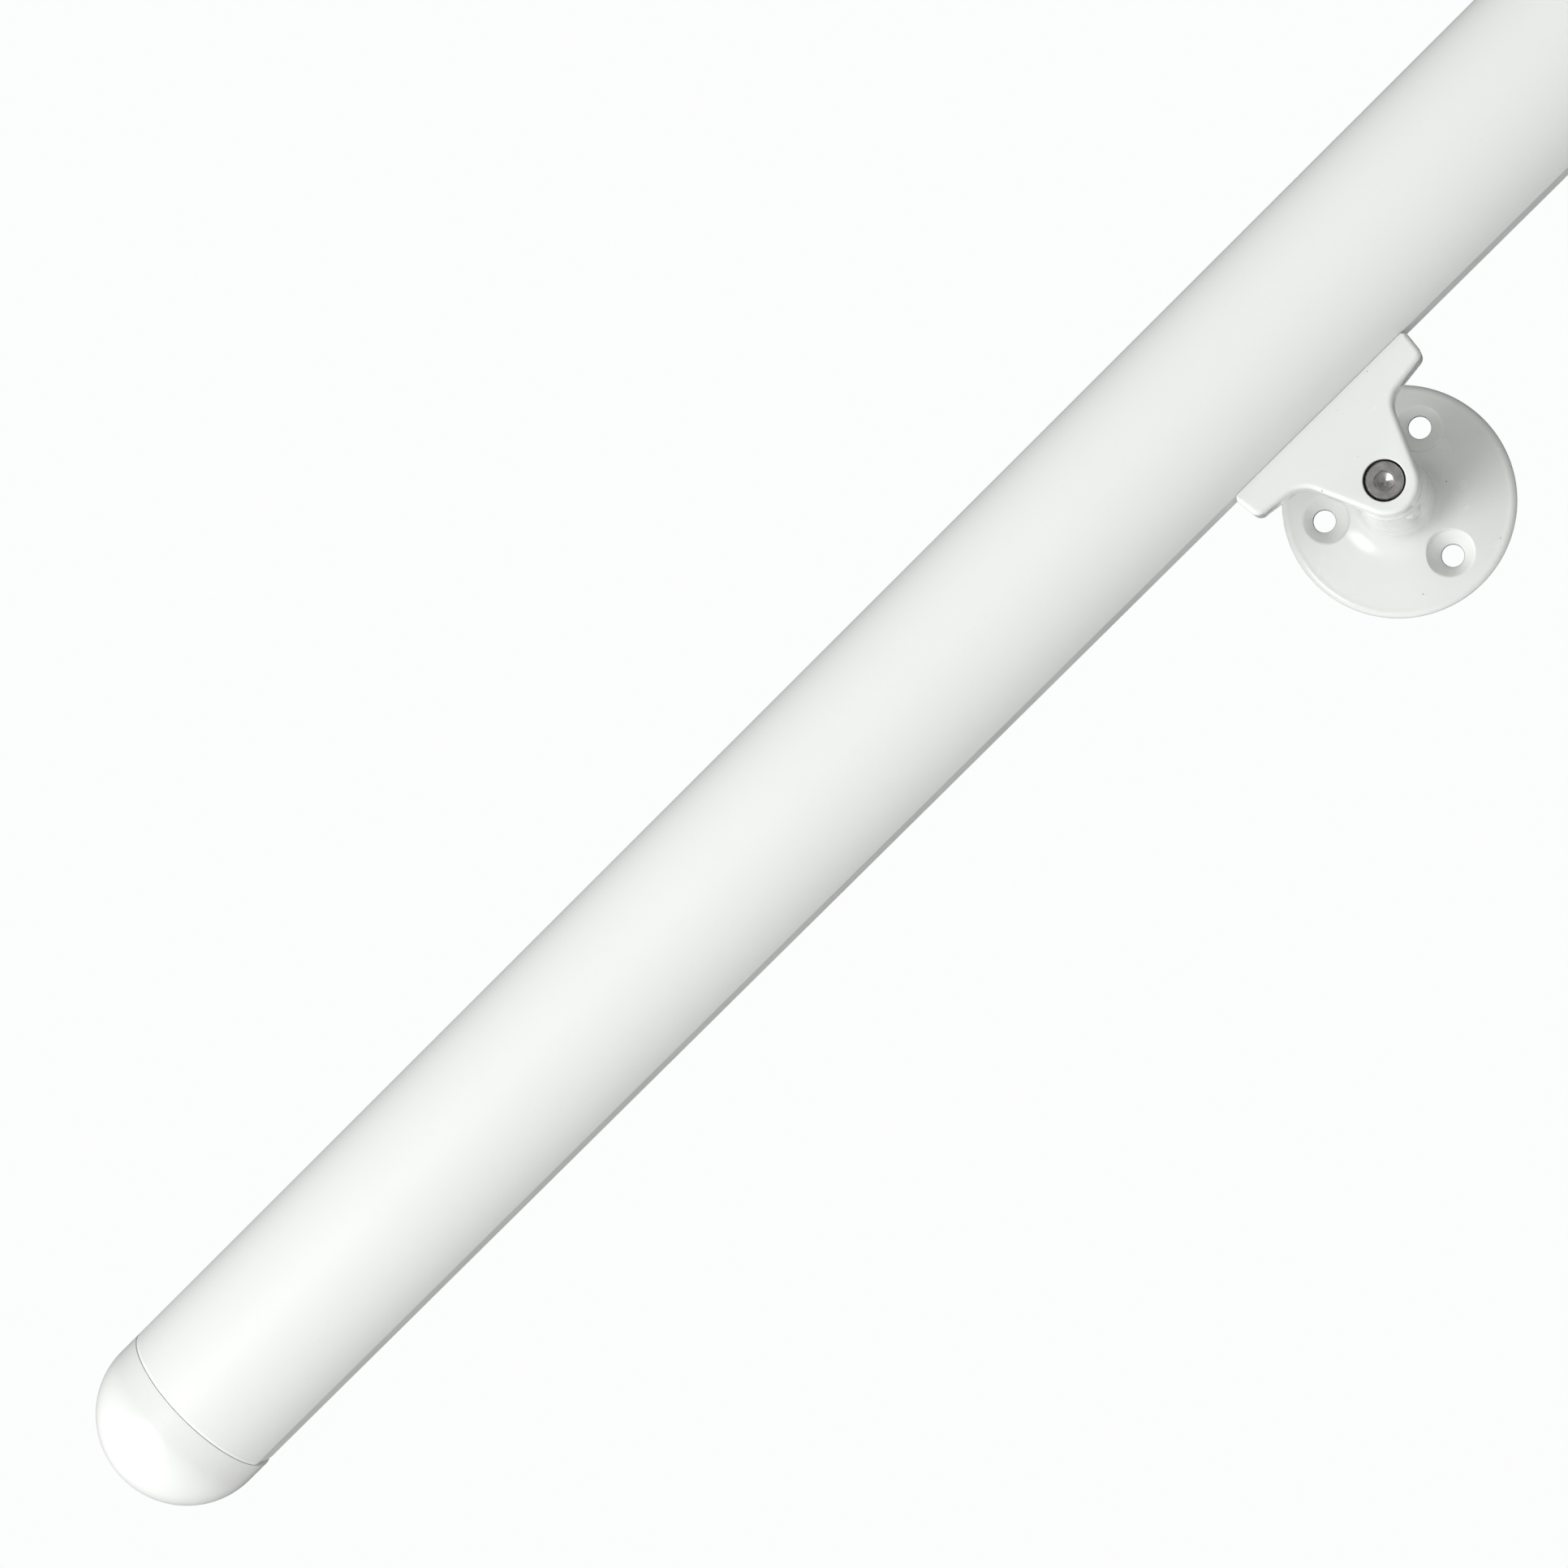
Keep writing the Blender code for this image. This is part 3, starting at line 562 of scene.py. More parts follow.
def plate_height(radius):
    """The wall plate's face: a shallow cone that flares up into the neck along a parabola."""
    rim_radius = FLANGE_RADIUS - FLANGE_RIM_ROUND
    slope = (FLARE_HEIGHT - FLANGE_RIM_HEIGHT) / (rim_radius - FLARE_RADIUS)
    if radius >= FLARE_RADIUS:
        return FLANGE_RIM_HEIGHT + (rim_radius - radius) * slope
    foot = FLARE_HEIGHT + (FLARE_RADIUS - NECK_BASE_RADIUS) * slope
    back = math.sqrt(max(radius - NECK_BASE_RADIUS, 0) / (FLARE_RADIUS - NECK_BASE_RADIUS))
    up = 1 - back
    return FLARE_HEIGHT * back**2 + foot * 2 * up * back + NECK_BASE_HEIGHT * up**2


def face_height(point):
    """The wall plate's face with its three countersinks."""
    height = plate_height(point.length)
    for hole in WALL_HOLES:
        distance = (point - Vector(hole)).length
        if distance < HOLE_PATCH_RADIUS:
            beyond = distance - COUNTERSINK_RADIUS
            slope = 1 if beyond < 0 else COUNTERSINK_WALL_SLOPE
            height = smooth_least(height, COUNTERSINK_FACE + beyond * slope, COUNTERSINK_SOFTNESS)
    return height


def plate_face(bm, inner, outer, hole_loops):
    """Triangulate the plate's face between its inner and outer rings and round the hole patches."""
    verts = []
    edges = []
    loop_of = {}
    for number, loop in enumerate([inner, *hole_loops, outer]):
        start, count = len(verts), len(loop)
        verts += loop
        edges += [(start + index, start + (index + 1) % count) for index in range(count)]
        if loop is not outer:
            loop_of.update((start + index, number) for index in range(count))
    low, high = inner[0].co.xy.length, outer[0].co.xy.length
    ring_count = round((high - low) / PLATE_SPACING)
    keep_off = HOLE_PATCH_RADIUS + PLATE_SPACING / 2
    for number in range(1, ring_count):
        radius = low + (high - low) * number / ring_count
        for point in circle(radius, TURN_STEPS):
            if all((point - Vector(hole)).length > keep_off for hole in WALL_HOLES):
                verts.append(bm.verts.new((point.x, point.y, face_height(point))))
    flat = [vert.co.xy for vert in verts]
    made = delaunay_2d_cdt(flat, edges, [], 0, JOIN_DISTANCE)
    triangles, origins = made[2:4]
    source = [came_from[0] for came_from in origins]
    for triangle in triangles:
        owners = {loop_of.get(source[index]) for index in triangle}
        if len(owners) > 1 or None in owners:
            bm.faces.new([verts[source[index]] for index in triangle])


def wall_hole_rings(bm, centre):
    """One hole: its patch of the face, the countersink, the wall and the boss round it at the back."""
    rings = []
    width = HOLE_PATCH_RADIUS - WALL_HOLE_RADIUS - HOLE_LIP
    for step in range(PATCH_RINGS):
        points = circle(HOLE_PATCH_RADIUS - width * step / PATCH_RINGS, HOLE_STEPS, centre)
        rings.append(ring(bm, points, [face_height(point) for point in points]))
    cone_foot = COUNTERSINK_FACE - COUNTERSINK_RADIUS + WALL_HOLE_RADIUS
    wall_and_boss = softened([
        (WALL_HOLE_RADIUS + HOLE_LIP, cone_foot + HOLE_LIP, 0),
        (WALL_HOLE_RADIUS, cone_foot, HOLE_LIP_ROUND),
        (WALL_HOLE_RADIUS, 0, BACK_EDGE_ROUND),
        (WALL_HOLE_BOSS_RADIUS, 0, BACK_EDGE_ROUND),
        (WALL_HOLE_BOSS_RADIUS, BACK_RECESS_DEPTH, BACK_EDGE_ROUND),
        (WALL_HOLE_BOSS_RADIUS + 2 * BACK_EDGE_ROUND, BACK_RECESS_DEPTH, 0),
    ])
    for radius, height in wall_and_boss:
        rings.append(ring(bm, circle(radius, HOLE_STEPS, centre), height))
    skin(bm, rings)
    return rings[0], rings[-1]


def lug_rise(angle, height):
    """How far the small lug under the neck stands out, with the dimple in its middle."""
    across = (angle - LUG_ANGLE) * NECK_END_RADIUS
    along = height - LUG_HEIGHT_ON_NECK
    beside = (abs(across) - LUG_HALF_WIDTH) / LUG_SIDE_SLOPE
    beyond = (abs(along) - LUG_HALF_LENGTH) / LUG_END_SLOPE
    body = LUG_RISE * smooth_step(1 - beside) * smooth_step(1 - beyond)
    distance = math.hypot(across, along - LUG_DIMPLE_OFFSET)
    dimple = smooth_step(LUG_DIMPLE_FADE - distance / LUG_DIMPLE_RADIUS)
    return body * (1 - LUG_DIMPLE_SHARE * dimple)


def smooth_step(value):
    """0 below 0, 1 above 1, and a smooth S between."""
    value = min(max(value, 0), 1)
    return value * value * (3 - 2 * value)


def neck_rings(bm):
    """From the plate up the flare and the tapering neck to the tapped hole in its end."""
    rings = []
    flare_width = PLATE_INNER_RADIUS - NECK_BASE_RADIUS
    for step in range(FLARE_STEPS + 1):
        radius = NECK_BASE_RADIUS + flare_width * (1 - step / FLARE_STEPS)**2
        rings.append(ring(bm, circle(radius, TURN_STEPS), plate_height(radius)))
    end = softened([
        (NECK_BASE_RADIUS, NECK_BASE_HEIGHT, 0),
        (NECK_END_RADIUS, NECK_TOP, NECK_END_ROUND),
        (BOLT_HOLE_RADIUS, NECK_TOP, TAP_MOUTH_ROUND),
        (BOLT_HOLE_RADIUS, NECK_TOP - TAPPED_DEPTH, 0),
    ])
    straight = end[2].y - NECK_BASE_HEIGHT
    count = round(straight / NECK_SPACING)
    for step in range(1, count):
        height = NECK_BASE_HEIGHT + straight * step / count
        taper = (NECK_BASE_RADIUS - NECK_END_RADIUS) * (height - NECK_BASE_HEIGHT) / straight
        points = []
        for turn in range(TURN_STEPS):
            angle = math.tau * turn / TURN_STEPS
            reach = NECK_BASE_RADIUS - taper + lug_rise(angle, height)
            points.append((reach * math.cos(angle), reach * math.sin(angle)))
        rings.append(ring(bm, points, height))
    tip = [Vector((0, NECK_TOP - TAPPED_DEPTH - DRILL_TIP))]
    return rings + lathe_rings(bm, end[2:] + tip, TURN_STEPS)


def wall_flange_mesh():
    """The wall plate with its holes, the flared neck, the rim and the cored and sunk back."""
    bm = bmesh.new()
    neck = neck_rings(bm)
    skin(bm, neck)
    holes = [wall_hole_rings(bm, hole) for hole in WALL_HOLES]
    inner_rim = FLANGE_RADIUS - BACK_RIM_WIDTH
    rim_start = FLANGE_RADIUS - FLANGE_RIM_ROUND - 2 * HOLD
    rim = lathe_rings(bm, softened([
        (rim_start, plate_height(rim_start), 0),
        (FLANGE_RADIUS, FLANGE_RIM_HEIGHT, FLANGE_RIM_ROUND),
        (FLANGE_RADIUS, 0, BACK_EDGE_ROUND),
        (inner_rim, 0, BACK_EDGE_ROUND),
        (inner_rim, BACK_RECESS_DEPTH, BACK_EDGE_ROUND),
        (inner_rim - 2 * BACK_EDGE_ROUND, BACK_RECESS_DEPTH, 0),
    ]), TURN_STEPS)
    skin(bm, rim)
    hub = lathe_rings(bm, softened([
        (BACK_HUB_RADIUS + 2 * BACK_EDGE_ROUND, BACK_RECESS_DEPTH, 0),
        (BACK_HUB_RADIUS, BACK_RECESS_DEPTH, BACK_EDGE_ROUND),
        (BACK_HUB_RADIUS, 0, BACK_EDGE_ROUND),
        (NECK_CORE_RADIUS, 0, BACK_EDGE_ROUND),
        (NECK_CORE_RADIUS - NECK_CORE_DRAFT, NECK_CORE_DEPTH, BACK_EDGE_ROUND),
        (0, NECK_CORE_DEPTH, 0),
    ]), TURN_STEPS)
    skin(bm, hub)
    plate_face(bm, neck[0], rim[0], [face_loop for face_loop, back_loop in holes])
    fill(bm, rim[-1], hub[0], *[back_loop for face_loop, back_loop in holes])
    mesh = finished_mesh("wall_flange", bm, ROUNDED_SHARP_ANGLE)
    mark_shaded_hole_walls(mesh)
    return mesh


def mark_shaded_hole_walls(mesh):
    """Mark the walls of the wall holes for painted shade: a dark tone that stands in for the shadow
    inside them.
    """
    reach = WALL_HOLE_RADIUS + HOLE_SHADE_LIP
    shares = []
    for vert in mesh.vertices:
        inside = any((vert.co.xy - Vector(hole)).length < reach for hole in WALL_HOLES)
        shares.append(1.0 if inside else 0.0)
    mesh.attributes.new("hole_wall_shade", "FLOAT", "POINT").data.foreach_set("value", shares)


# Fasteners

def pivot_bolt_mesh():
    """A socket-head cap screw with a chamfered head, a hexagon socket and a rolled thread."""
    low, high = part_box("pivot_bolt_left")
    head_top, tip = -low.y, -high.y
    seat = head_top - BOLT_HEAD_HEIGHT
    bm = bmesh.new()
    point = lathe_rings(bm, [(0, tip), (BOLT_RADIUS - BOLT_THREAD_DEPTH, tip)], SMALL_TURN_STEPS)
    thread_top = seat - BOLT_PITCH
    thread = threaded_rings(bm, BOLT_RADIUS, BOLT_THREAD_DEPTH, BOLT_PITCH, tip + HOLD, thread_top)
    head = lathe_rings(bm, softened([
        (BOLT_RADIUS, seat - BOLT_PITCH / 2, 0),
        (BOLT_RADIUS, seat, FINE_ROUND),
        (BOLT_HEAD_RADIUS, seat, FINE_ROUND),
        (BOLT_HEAD_RADIUS, head_top - BOLT_HEAD_CHAMFER, FINE_ROUND),
        (BOLT_HEAD_RADIUS - BOLT_HEAD_CHAMFER, head_top, FINE_ROUND),
        (0, head_top, 0),
    ]), SMALL_TURN_STEPS)
    skin(bm, point + thread + head)
    body = finished_mesh("pivot_bolt", bm)
    cutters = (hex_socket(head_top), hex_mouth(head_top), hex_pit(head_top))
    return carved(body, *[(cutter, (0, 0, 0)) for cutter in cutters])


def hex_socket(head_top):
    """The six-sided cutter for the bolt's socket."""
    outline = circle(HEX_CORNER_RADIUS, 6)
    return prism("socket", outline, head_top - HEX_DEPTH, head_top + CUT_OVERSHOOT)


def hex_mouth(head_top):
    """The cone that chamfers the corners of the socket's mouth."""
    return lathe("socket_mouth", [
        (0, head_top - 2 * HOLD),
        (HEX_ACROSS_FLATS / 2, head_top - 2 * HOLD),
        (HEX_CORNER_RADIUS + HOLD, head_top + HOLD),
        (0, head_top + HOLD),
    ], steps=SMALL_TURN_STEPS)


def hex_pit(head_top):
    """The drilled pit in the socket's floor."""
    floor = head_top - HEX_DEPTH
    rim = HEX_ACROSS_FLATS / 2 - HOLD
    core_top = floor - (rim - HEX_PIT_CORE_RADIUS) * math.tan(HEX_PIT_SLOPE)
    tip = core_top - HEX_PIT_CORE_RADIUS * math.tan(HEX_PIT_CORE_SLOPE)
    return lathe("socket_pit", softened([
        (0, tip, 0),
        (HEX_PIT_CORE_RADIUS, core_top, FINE_ROUND),
        (rim, floor, 0),
        (0, floor, 0),
    ]), steps=SMALL_TURN_STEPS)


def spring_washer_mesh():
    """A split ring whose two ends spring a little apart."""
    low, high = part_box("spring_washer_left")
    bottom, top = -high.y, -low.y
    section = softened([
        (BOLT_HOLE_RADIUS, bottom + SPRING_WASHER_LIFT, FINE_ROUND),
        (SPRING_WASHER_RADIUS, bottom + SPRING_WASHER_LIFT, FINE_ROUND),
        (SPRING_WASHER_RADIUS, top - SPRING_WASHER_LIFT, FINE_ROUND),
        (BOLT_HOLE_RADIUS, top - SPRING_WASHER_LIFT, FINE_ROUND),
    ], closed=True)
    bm = bmesh.new()
    rings = []
    for step in range(SMALL_TURN_STEPS + 1):
        share = step / SMALL_TURN_STEPS
        angle = SPRING_WASHER_SLIT / 2 + (math.tau - SPRING_WASHER_SLIT) * share
        lift = SPRING_WASHER_LIFT * (2 * share - 1)
        rings.append([
            bm.verts.new((radius * math.cos(angle), radius * math.sin(angle), height + lift))
            for radius, height in section
        ])
    skin(bm, rings)
    bm.faces.new(rings[0])
    bm.faces.new(rings[-1])
    return finished_mesh("spring_washer", bm, ROUNDED_SHARP_ANGLE)


def pivot_washer_mesh():
    """The flat ring between the saddle's back and the end of the flange's neck."""
    low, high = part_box("pivot_washer_left")
    profile = softened([
        (BOLT_HOLE_RADIUS, -high.y, FINE_ROUND),
        (PIVOT_WASHER_RADIUS, -high.y, FINE_ROUND),
        (PIVOT_WASHER_RADIUS, -low.y, FINE_ROUND),
        (BOLT_HOLE_RADIUS, -low.y, FINE_ROUND),
    ], closed=True)
    return lathe("pivot_washer", profile, closed=True)


def cross_mesh():
    """A plus sign whose walls draw in towards its bottom, sunk from z = 0 up +Z."""
    arm = CROSS_RECESS_SPAN / 2
    half = CROSS_RECESS_WIDTH / 2
    outline = []
    for turn in range(4):
        rotation = Quaternion((0, 0, 1), turn * math.pi / 2)
        for x, y in ((arm, -half), (arm, half), (half, half)):
            outline.append((rotation @ Vector((x, y, 0))).xy)
    return prism("cross", outline, -CROSS_OVERSHOOT, CROSS_RECESS_DEPTH, taper=CROSS_RECESS_TAPER)


def saddle_screw_mesh():
    """A countersunk self-tapping screw with the flat of its head at z = 0 and its tip up +Z."""
    low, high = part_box("saddle_screw_left_outer")
    length = high.z - low.z
    cone_top = SCREW_HEAD_RADIUS - SCREW_RADIUS
    core_radius = SCREW_RADIUS - SCREW_THREAD_DEPTH
    bm = bmesh.new()
    head = lathe_rings(bm, softened([
        (0, 0, 0),
        (SCREW_HEAD_RADIUS, 0, SCREW_HEAD_ROUND),
        (core_radius, cone_top, SCREW_NECK_ROUND),
        (core_radius, cone_top + SCREW_PITCH / 2, 0),
    ]), SMALL_TURN_STEPS)
    thread = threaded_rings(bm, SCREW_RADIUS, SCREW_THREAD_DEPTH, SCREW_PITCH,
                            cone_top + SCREW_PITCH, length - SCREW_TIP)
    tip = lathe_rings(bm, [(0, length)], SMALL_TURN_STEPS)
    skin(bm, head + thread + tip)
    return carved(finished_mesh("saddle_screw", bm), (cross_mesh(), (0, 0, 0)))


# Finishes: tones are linear colours, and noise scales count cells for each metre

TUBE_LIGHT = (0.815, 0.83, 0.81)
TUBE_SHADE = (0.795, 0.812, 0.792)
TUBE_ROUGHNESS = 0.36
CAP_LIGHT = (0.785, 0.797, 0.777)
CAP_SHADE = (0.765, 0.78, 0.761)
CAP_ROUGHNESS = 0.22
CAST_LIGHT = (0.8, 0.815, 0.797)
CAST_SHADE = (0.77, 0.788, 0.77)
CAST_ROUGHNESS = 0.22
PIT_TONE = (0.22, 0.22, 0.2)
# Painted shade: a near-black tone laid on the wall holes' walls to stand in for the shadow inside them
HOLE_WALL_SHADE_TONE = (0.13, 0.13, 0.12)
STEEL_SHADE = (0.27, 0.265, 0.255)
STEEL_LIGHT = (0.43, 0.42, 0.405)
ZINC_COOL = (0.52, 0.55, 0.6)
ZINC_WARM = (0.7, 0.69, 0.64)
POLYAMIDE_SHADE = (0.022, 0.022, 0.024)
POLYAMIDE_LIGHT = (0.04, 0.04, 0.041)
MIX_COLOR_INPUTS = (6, 7)      # where a Mix node in colour mode has its two colours
MIX_COLOR_OUTPUT = 2


def link_new(tree, kind, inputs=(), **settings):
    """Add a node; inputs pairs an input's name with a value or with the socket that feeds it."""
    node = tree.nodes.new(kind)
    for name, value in settings.items():
        setattr(node, name, value)
    for name, value in dict(inputs).items():
        if isinstance(value, bpy.types.NodeSocket):
            tree.links.new(value, node.inputs[name])
        else:
            node.inputs[name].default_value = value
    return node


def noise(tree, place, scale, detail=2.0):
    """Noise between 0 and 1."""
    node = link_new(tree, "ShaderNodeTexNoise", {"Vector": place, "Scale": scale, "Detail": detail})
    return node.outputs["Fac"]


def spread(tree, value, low, high, start=0.3, end=0.7):
    """Stretch a value that lies between start and end to lie between low and high."""
    node = link_new(tree, "ShaderNodeMapRange", {
        "Value": value, "From Min": start, "From Max": end, "To Min": low, "To Max": high,
    })
    return node.outputs["Result"]


def blended(tree, share, first, second):
    """A colour between two colours or colour sockets."""
    node = tree.nodes.new("ShaderNodeMix")
    node.data_type = "RGBA"
    tree.links.new(share, node.inputs["Factor"])
    for index, color in zip(MIX_COLOR_INPUTS, (first, second)):
        if isinstance(color, bpy.types.NodeSocket):
            tree.links.new(color, node.inputs[index])
        else:
            node.inputs[index].default_value = (*color, 1)
    return node.outputs[MIX_COLOR_OUTPUT]


def bumped(tree, height, distance, normal=None):
    """A normal bumped by a height; distance is the relief in metres."""
    node = link_new(tree, "ShaderNodeBump", {"Height": height, "Distance": distance, "Strength": 1.0})
    if normal is not None:
        tree.links.new(normal, node.inputs["Normal"])
    return node.outputs["Normal"]


def new_finish(name, metallic=0.0, **sockets):
    """A Principled material with its even values set straight on the shader; returns its parts."""
    finish = bpy.data.materials.new(name)
    finish.use_nodes = True
    tree = finish.node_tree
    shader = tree.nodes["Principled BSDF"]
    shader.inputs["Metallic"].default_value = metallic
    for socket, value in sockets.items():
        shader.inputs[socket.replace("_", " ")].default_value = value
    place = tree.nodes.new("ShaderNodeTexCoord").outputs["Object"]
    return finish, tree, shader, place


def dress(tree, shader, color, roughness, normal):
    """Feed a shader its colour, roughness and normal."""
    tree.links.new(color, shader.inputs["Base Color"])
    tree.links.new(roughness, shader.inputs["Roughness"])
    tree.links.new(normal, shader.inputs["Normal"])


def powder_coat(name, light, shade, roughness):
    """Satin powder coat: orange peel, faint cloudy tone and patches of lower gloss."""
    finish, tree, shader, place = new_finish(name, Specular_IOR_Level=0.5)
    tone = blended(tree, spread(tree, noise(tree, place, 9.0), 0, 1), shade, light)
    speck = spread(tree, noise(tree, place, 2600.0, 1.0), 0, 0.5, 0.72, 0.8)
    tone = blended(tree, speck, tone, [channel * 0.8 for channel in shade])
    rough = spread(tree, noise(tree, place, 45.0, 4.0), roughness - 0.04, roughness + 0.05)
    peel = bumped(tree, noise(tree, place, 620.0, 3.0), 0.022 * MM)
    dress(tree, shader, tone, rough, bumped(tree, noise(tree, place, 2400.0, 1.0), 0.004 * MM, peel))
    return finish


def cast_coat(name, light, shade, roughness):
    """Powder coat over a casting: soft waves under the orange peel, fine pits and painted shade
    darkening the hole walls.
    """
    finish, tree, shader, place = new_finish(name, Specular_IOR_Level=0.5)
    tone = blended(tree, spread(tree, noise(tree, place, 30.0), 0, 1), shade, light)
    cells = link_new(tree, "ShaderNodeTexVoronoi", {"Vector": place, "Scale": 230.0})
    chosen = link_new(tree, "ShaderNodeSeparateColor", {"Color": cells.outputs["Color"]}).outputs["Red"]
    chosen = spread(tree, chosen, 0, 1, 0.86, 0.87)
    pit = spread(tree, cells.outputs["Distance"], 1, 0, 0.02, 0.075)
    pit = link_new(tree, "ShaderNodeMath", {0: pit, 1: chosen}, operation="MULTIPLY").outputs["Value"]
    tone = blended(tree, pit, tone, PIT_TONE)
    # Painted shade: the wall holes' walls are darkened to stand in for the shadow inside them
    hole_wall_shade = link_new(tree, "ShaderNodeAttribute", attribute_name="hole_wall_shade").outputs["Fac"]
    tone = blended(tree, hole_wall_shade, tone, HOLE_WALL_SHADE_TONE)
    rough = spread(tree, noise(tree, place, 90.0, 4.0), roughness - 0.04, roughness + 0.06)
    waves = bumped(tree, noise(tree, place, 190.0, 2.0), 0.03 * MM)
    peel = bumped(tree, noise(tree, place, 700.0, 3.0), 0.016 * MM, waves)
    sunk = bumped(tree, spread(tree, pit, 1, 0, 0, 1), 0.1 * MM, peel)
    dress(tree, shader, tone, rough, sunk)
    return finish


def turned_steel(name):
    """Stainless steel, turned: fine rings round the bolt's axis, handling marks and dull patches."""
    finish, tree, shader, place = new_finish(name, metallic=1.0, Anisotropic=0.4)
    rings = link_new(tree, "ShaderNodeTexWave", {
        "Vector": place, "Scale": 900.0, "Distortion": 1.5, "Detail": 2.0, "Detail Scale": 2.0,
    }, wave_type="RINGS", rings_direction="Z").outputs["Fac"]
    patch = noise(tree, place, 320.0, 4.0)
    tone = blended(tree, spread(tree, patch, 0, 1), STEEL_SHADE, STEEL_LIGHT)
    rough = spread(tree, noise(tree, place, 800.0, 3.0), 0.2, 0.34)
    worn = bumped(tree, noise(tree, place, 1500.0, 3.0), 0.006 * MM)
    dress(tree, shader, tone, rough, bumped(tree, rings, 0.006 * MM, worn))
    return finish


def zinc_plate(name):
    """Bright zinc plate: a cool metal with cloudy passivation and a fine crystalline grain."""
    finish, tree, shader, place = new_finish(name, metallic=1.0)
    cloud = spread(tree, noise(tree, place, 260.0, 4.0), 0, 1)
    tone = blended(tree, cloud, ZINC_COOL, ZINC_WARM)
    rough = spread(tree, noise(tree, place, 900.0, 3.0), 0.28, 0.45)
    dress(tree, shader, tone, rough, bumped(tree, noise(tree, place, 2500.0, 2.0), 0.004 * MM))
    return finish


def moulded_polyamide(name):
    """Matt black moulded polyamide with a fine spark-eroded grain."""
    finish, tree, shader, place = new_finish(name, Specular_IOR_Level=0.4)
    cloud = spread(tree, noise(tree, place, 120.0, 3.0), 0, 1)
    tone = blended(tree, cloud, POLYAMIDE_SHADE, POLYAMIDE_LIGHT)
    rough = spread(tree, noise(tree, place, 500.0, 3.0), 0.48, 0.64)
    dress(tree, shader, tone, rough, bumped(tree, noise(tree, place, 3000.0, 2.0), 0.02 * MM))
    return finish


# Pieces

def piece(name, mesh, finish, body, node, location=(0, 0, 0), rotation=(0, 0, 0)):
    """Put a fine piece where its CAD node is, riding on the same body in the node's finish."""
    made = bpy.data.objects.new(name, mesh)
    made.location = location
    made.rotation_euler = rotation
    if not mesh.materials:
        mesh.materials.append(finish)
    bpy.context.scene.collection.objects.link(made)
    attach(made, body)
    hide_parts(node)


def keep_node(node, finish):
    """Leave a CAD node's shape as it is and give it a finer finish."""
    mesh = frame["nodes"][node].data
    mesh.materials.clear()
    mesh.materials.append(finish)


def build_rail(coat, cap_coat, polyamide, zinc):
    """The rail, its end caps, and the plugs and screws that hold them."""
    piece("rail_tube", rail_mesh(), coat, "rail", "rail_profile", RAIL_AXIS)
    cap = end_cap_mesh()
    for side, sign in SIDES.items():
        cap_low, cap_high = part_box(f"end_cap_{side}")
        seam = min(abs(cap_low.x), abs(cap_high.x)) * sign
        place = (seam, RAIL_AXIS.y, RAIL_AXIS.z)
        facing = (math.pi / 2, 0, sign * math.pi / 2)
        piece(f"cap_dome_{side}", cap, cap_coat, "rail", f"end_cap_{side}", place, facing)
        keep_node(f"cap_insert_{side}", polyamide)
        keep_node(f"cap_insert_screw_{side}", zinc)


def build_saddles(coat, zinc):
    """The saddles and the screws that pull them up against the rail's flat."""
    saddle = saddle_mesh()
    screw = saddle_screw_mesh()
    for side in SIDES:
        pivot = PIVOTS[f"wall_bracket_{side}"]
        piece(f"saddle_casting_{side}", saddle, coat, "rail", f"saddle_{side}",
              pivot, AWAY_FROM_WALL)
        for end in ("outer", "inner"):
            node = f"saddle_screw_{side}_{end}"
            low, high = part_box(node)
            middle = (low + high) / 2
            piece(f"rail_screw_{side}_{end}", screw, zinc, "rail", node,
                  (middle.x, middle.y, low.z))


def build_brackets(coat, steel, polyamide):
    """What turns about each pivot: the wall flange, its bolt and the washers."""
    parts = (
        ("wall_flange", "flange_casting", wall_flange_mesh(), coat, "white_cast_coat"),
        ("pivot_bolt", "socket_screw", pivot_bolt_mesh(), steel, "stainless_steel"),
        ("spring_washer", "lock_washer", spring_washer_mesh(), steel, "stainless_steel"),
        ("pivot_washer", "friction_washer", pivot_washer_mesh(), polyamide, "black_polyamide"),
    )
    for side in SIDES:
        body = f"wall_bracket_{side}"
        for node, name, mesh, finish, slot in parts:
            piece(f"{name}_{side}", mesh, finish, body, f"{node}_{side}",
                  PIVOTS[body], AWAY_FROM_WALL)


# Stage

BACKDROP_RADIUS = 14.0
BACKDROP_WHITE = (0.975, 0.98, 0.98)
FLOOR_HEIGHT = -0.9
FLOOR_RADIUS = 3.2
FLOOR_FADE_START = 1.0
FLOOR_SHADE = (0.74, 0.74, 0.74)
FLOOR_LIGHT = (0.77, 0.77, 0.77)
SKY_BASE = 0.34
SKY_LEAN = Vector((-0.3, -0.3, 0.23))
KEY_PLACE = Vector((-2.76, -2.15, 0.4))
LIGHT_AIM = Vector((-0.5, -0.075, 0.03))
KEY_SIZE = 2.2
KEY_POWER = 77.0
FILL_PLACE = Vector((-0.2, 2.9, 0.7))
FILL_SIZE = 1.0
FILL_POWER = 36.0
CAMERA_PLACE = Vector((-0.3328, -1.2419, -0.1034))
CAMERA_AIM = Vector((-0.4845, -0.075, 0.0557))
CAMERA_ROLL = math.radians(-43.87)
CAMERA_LENS = 101.4


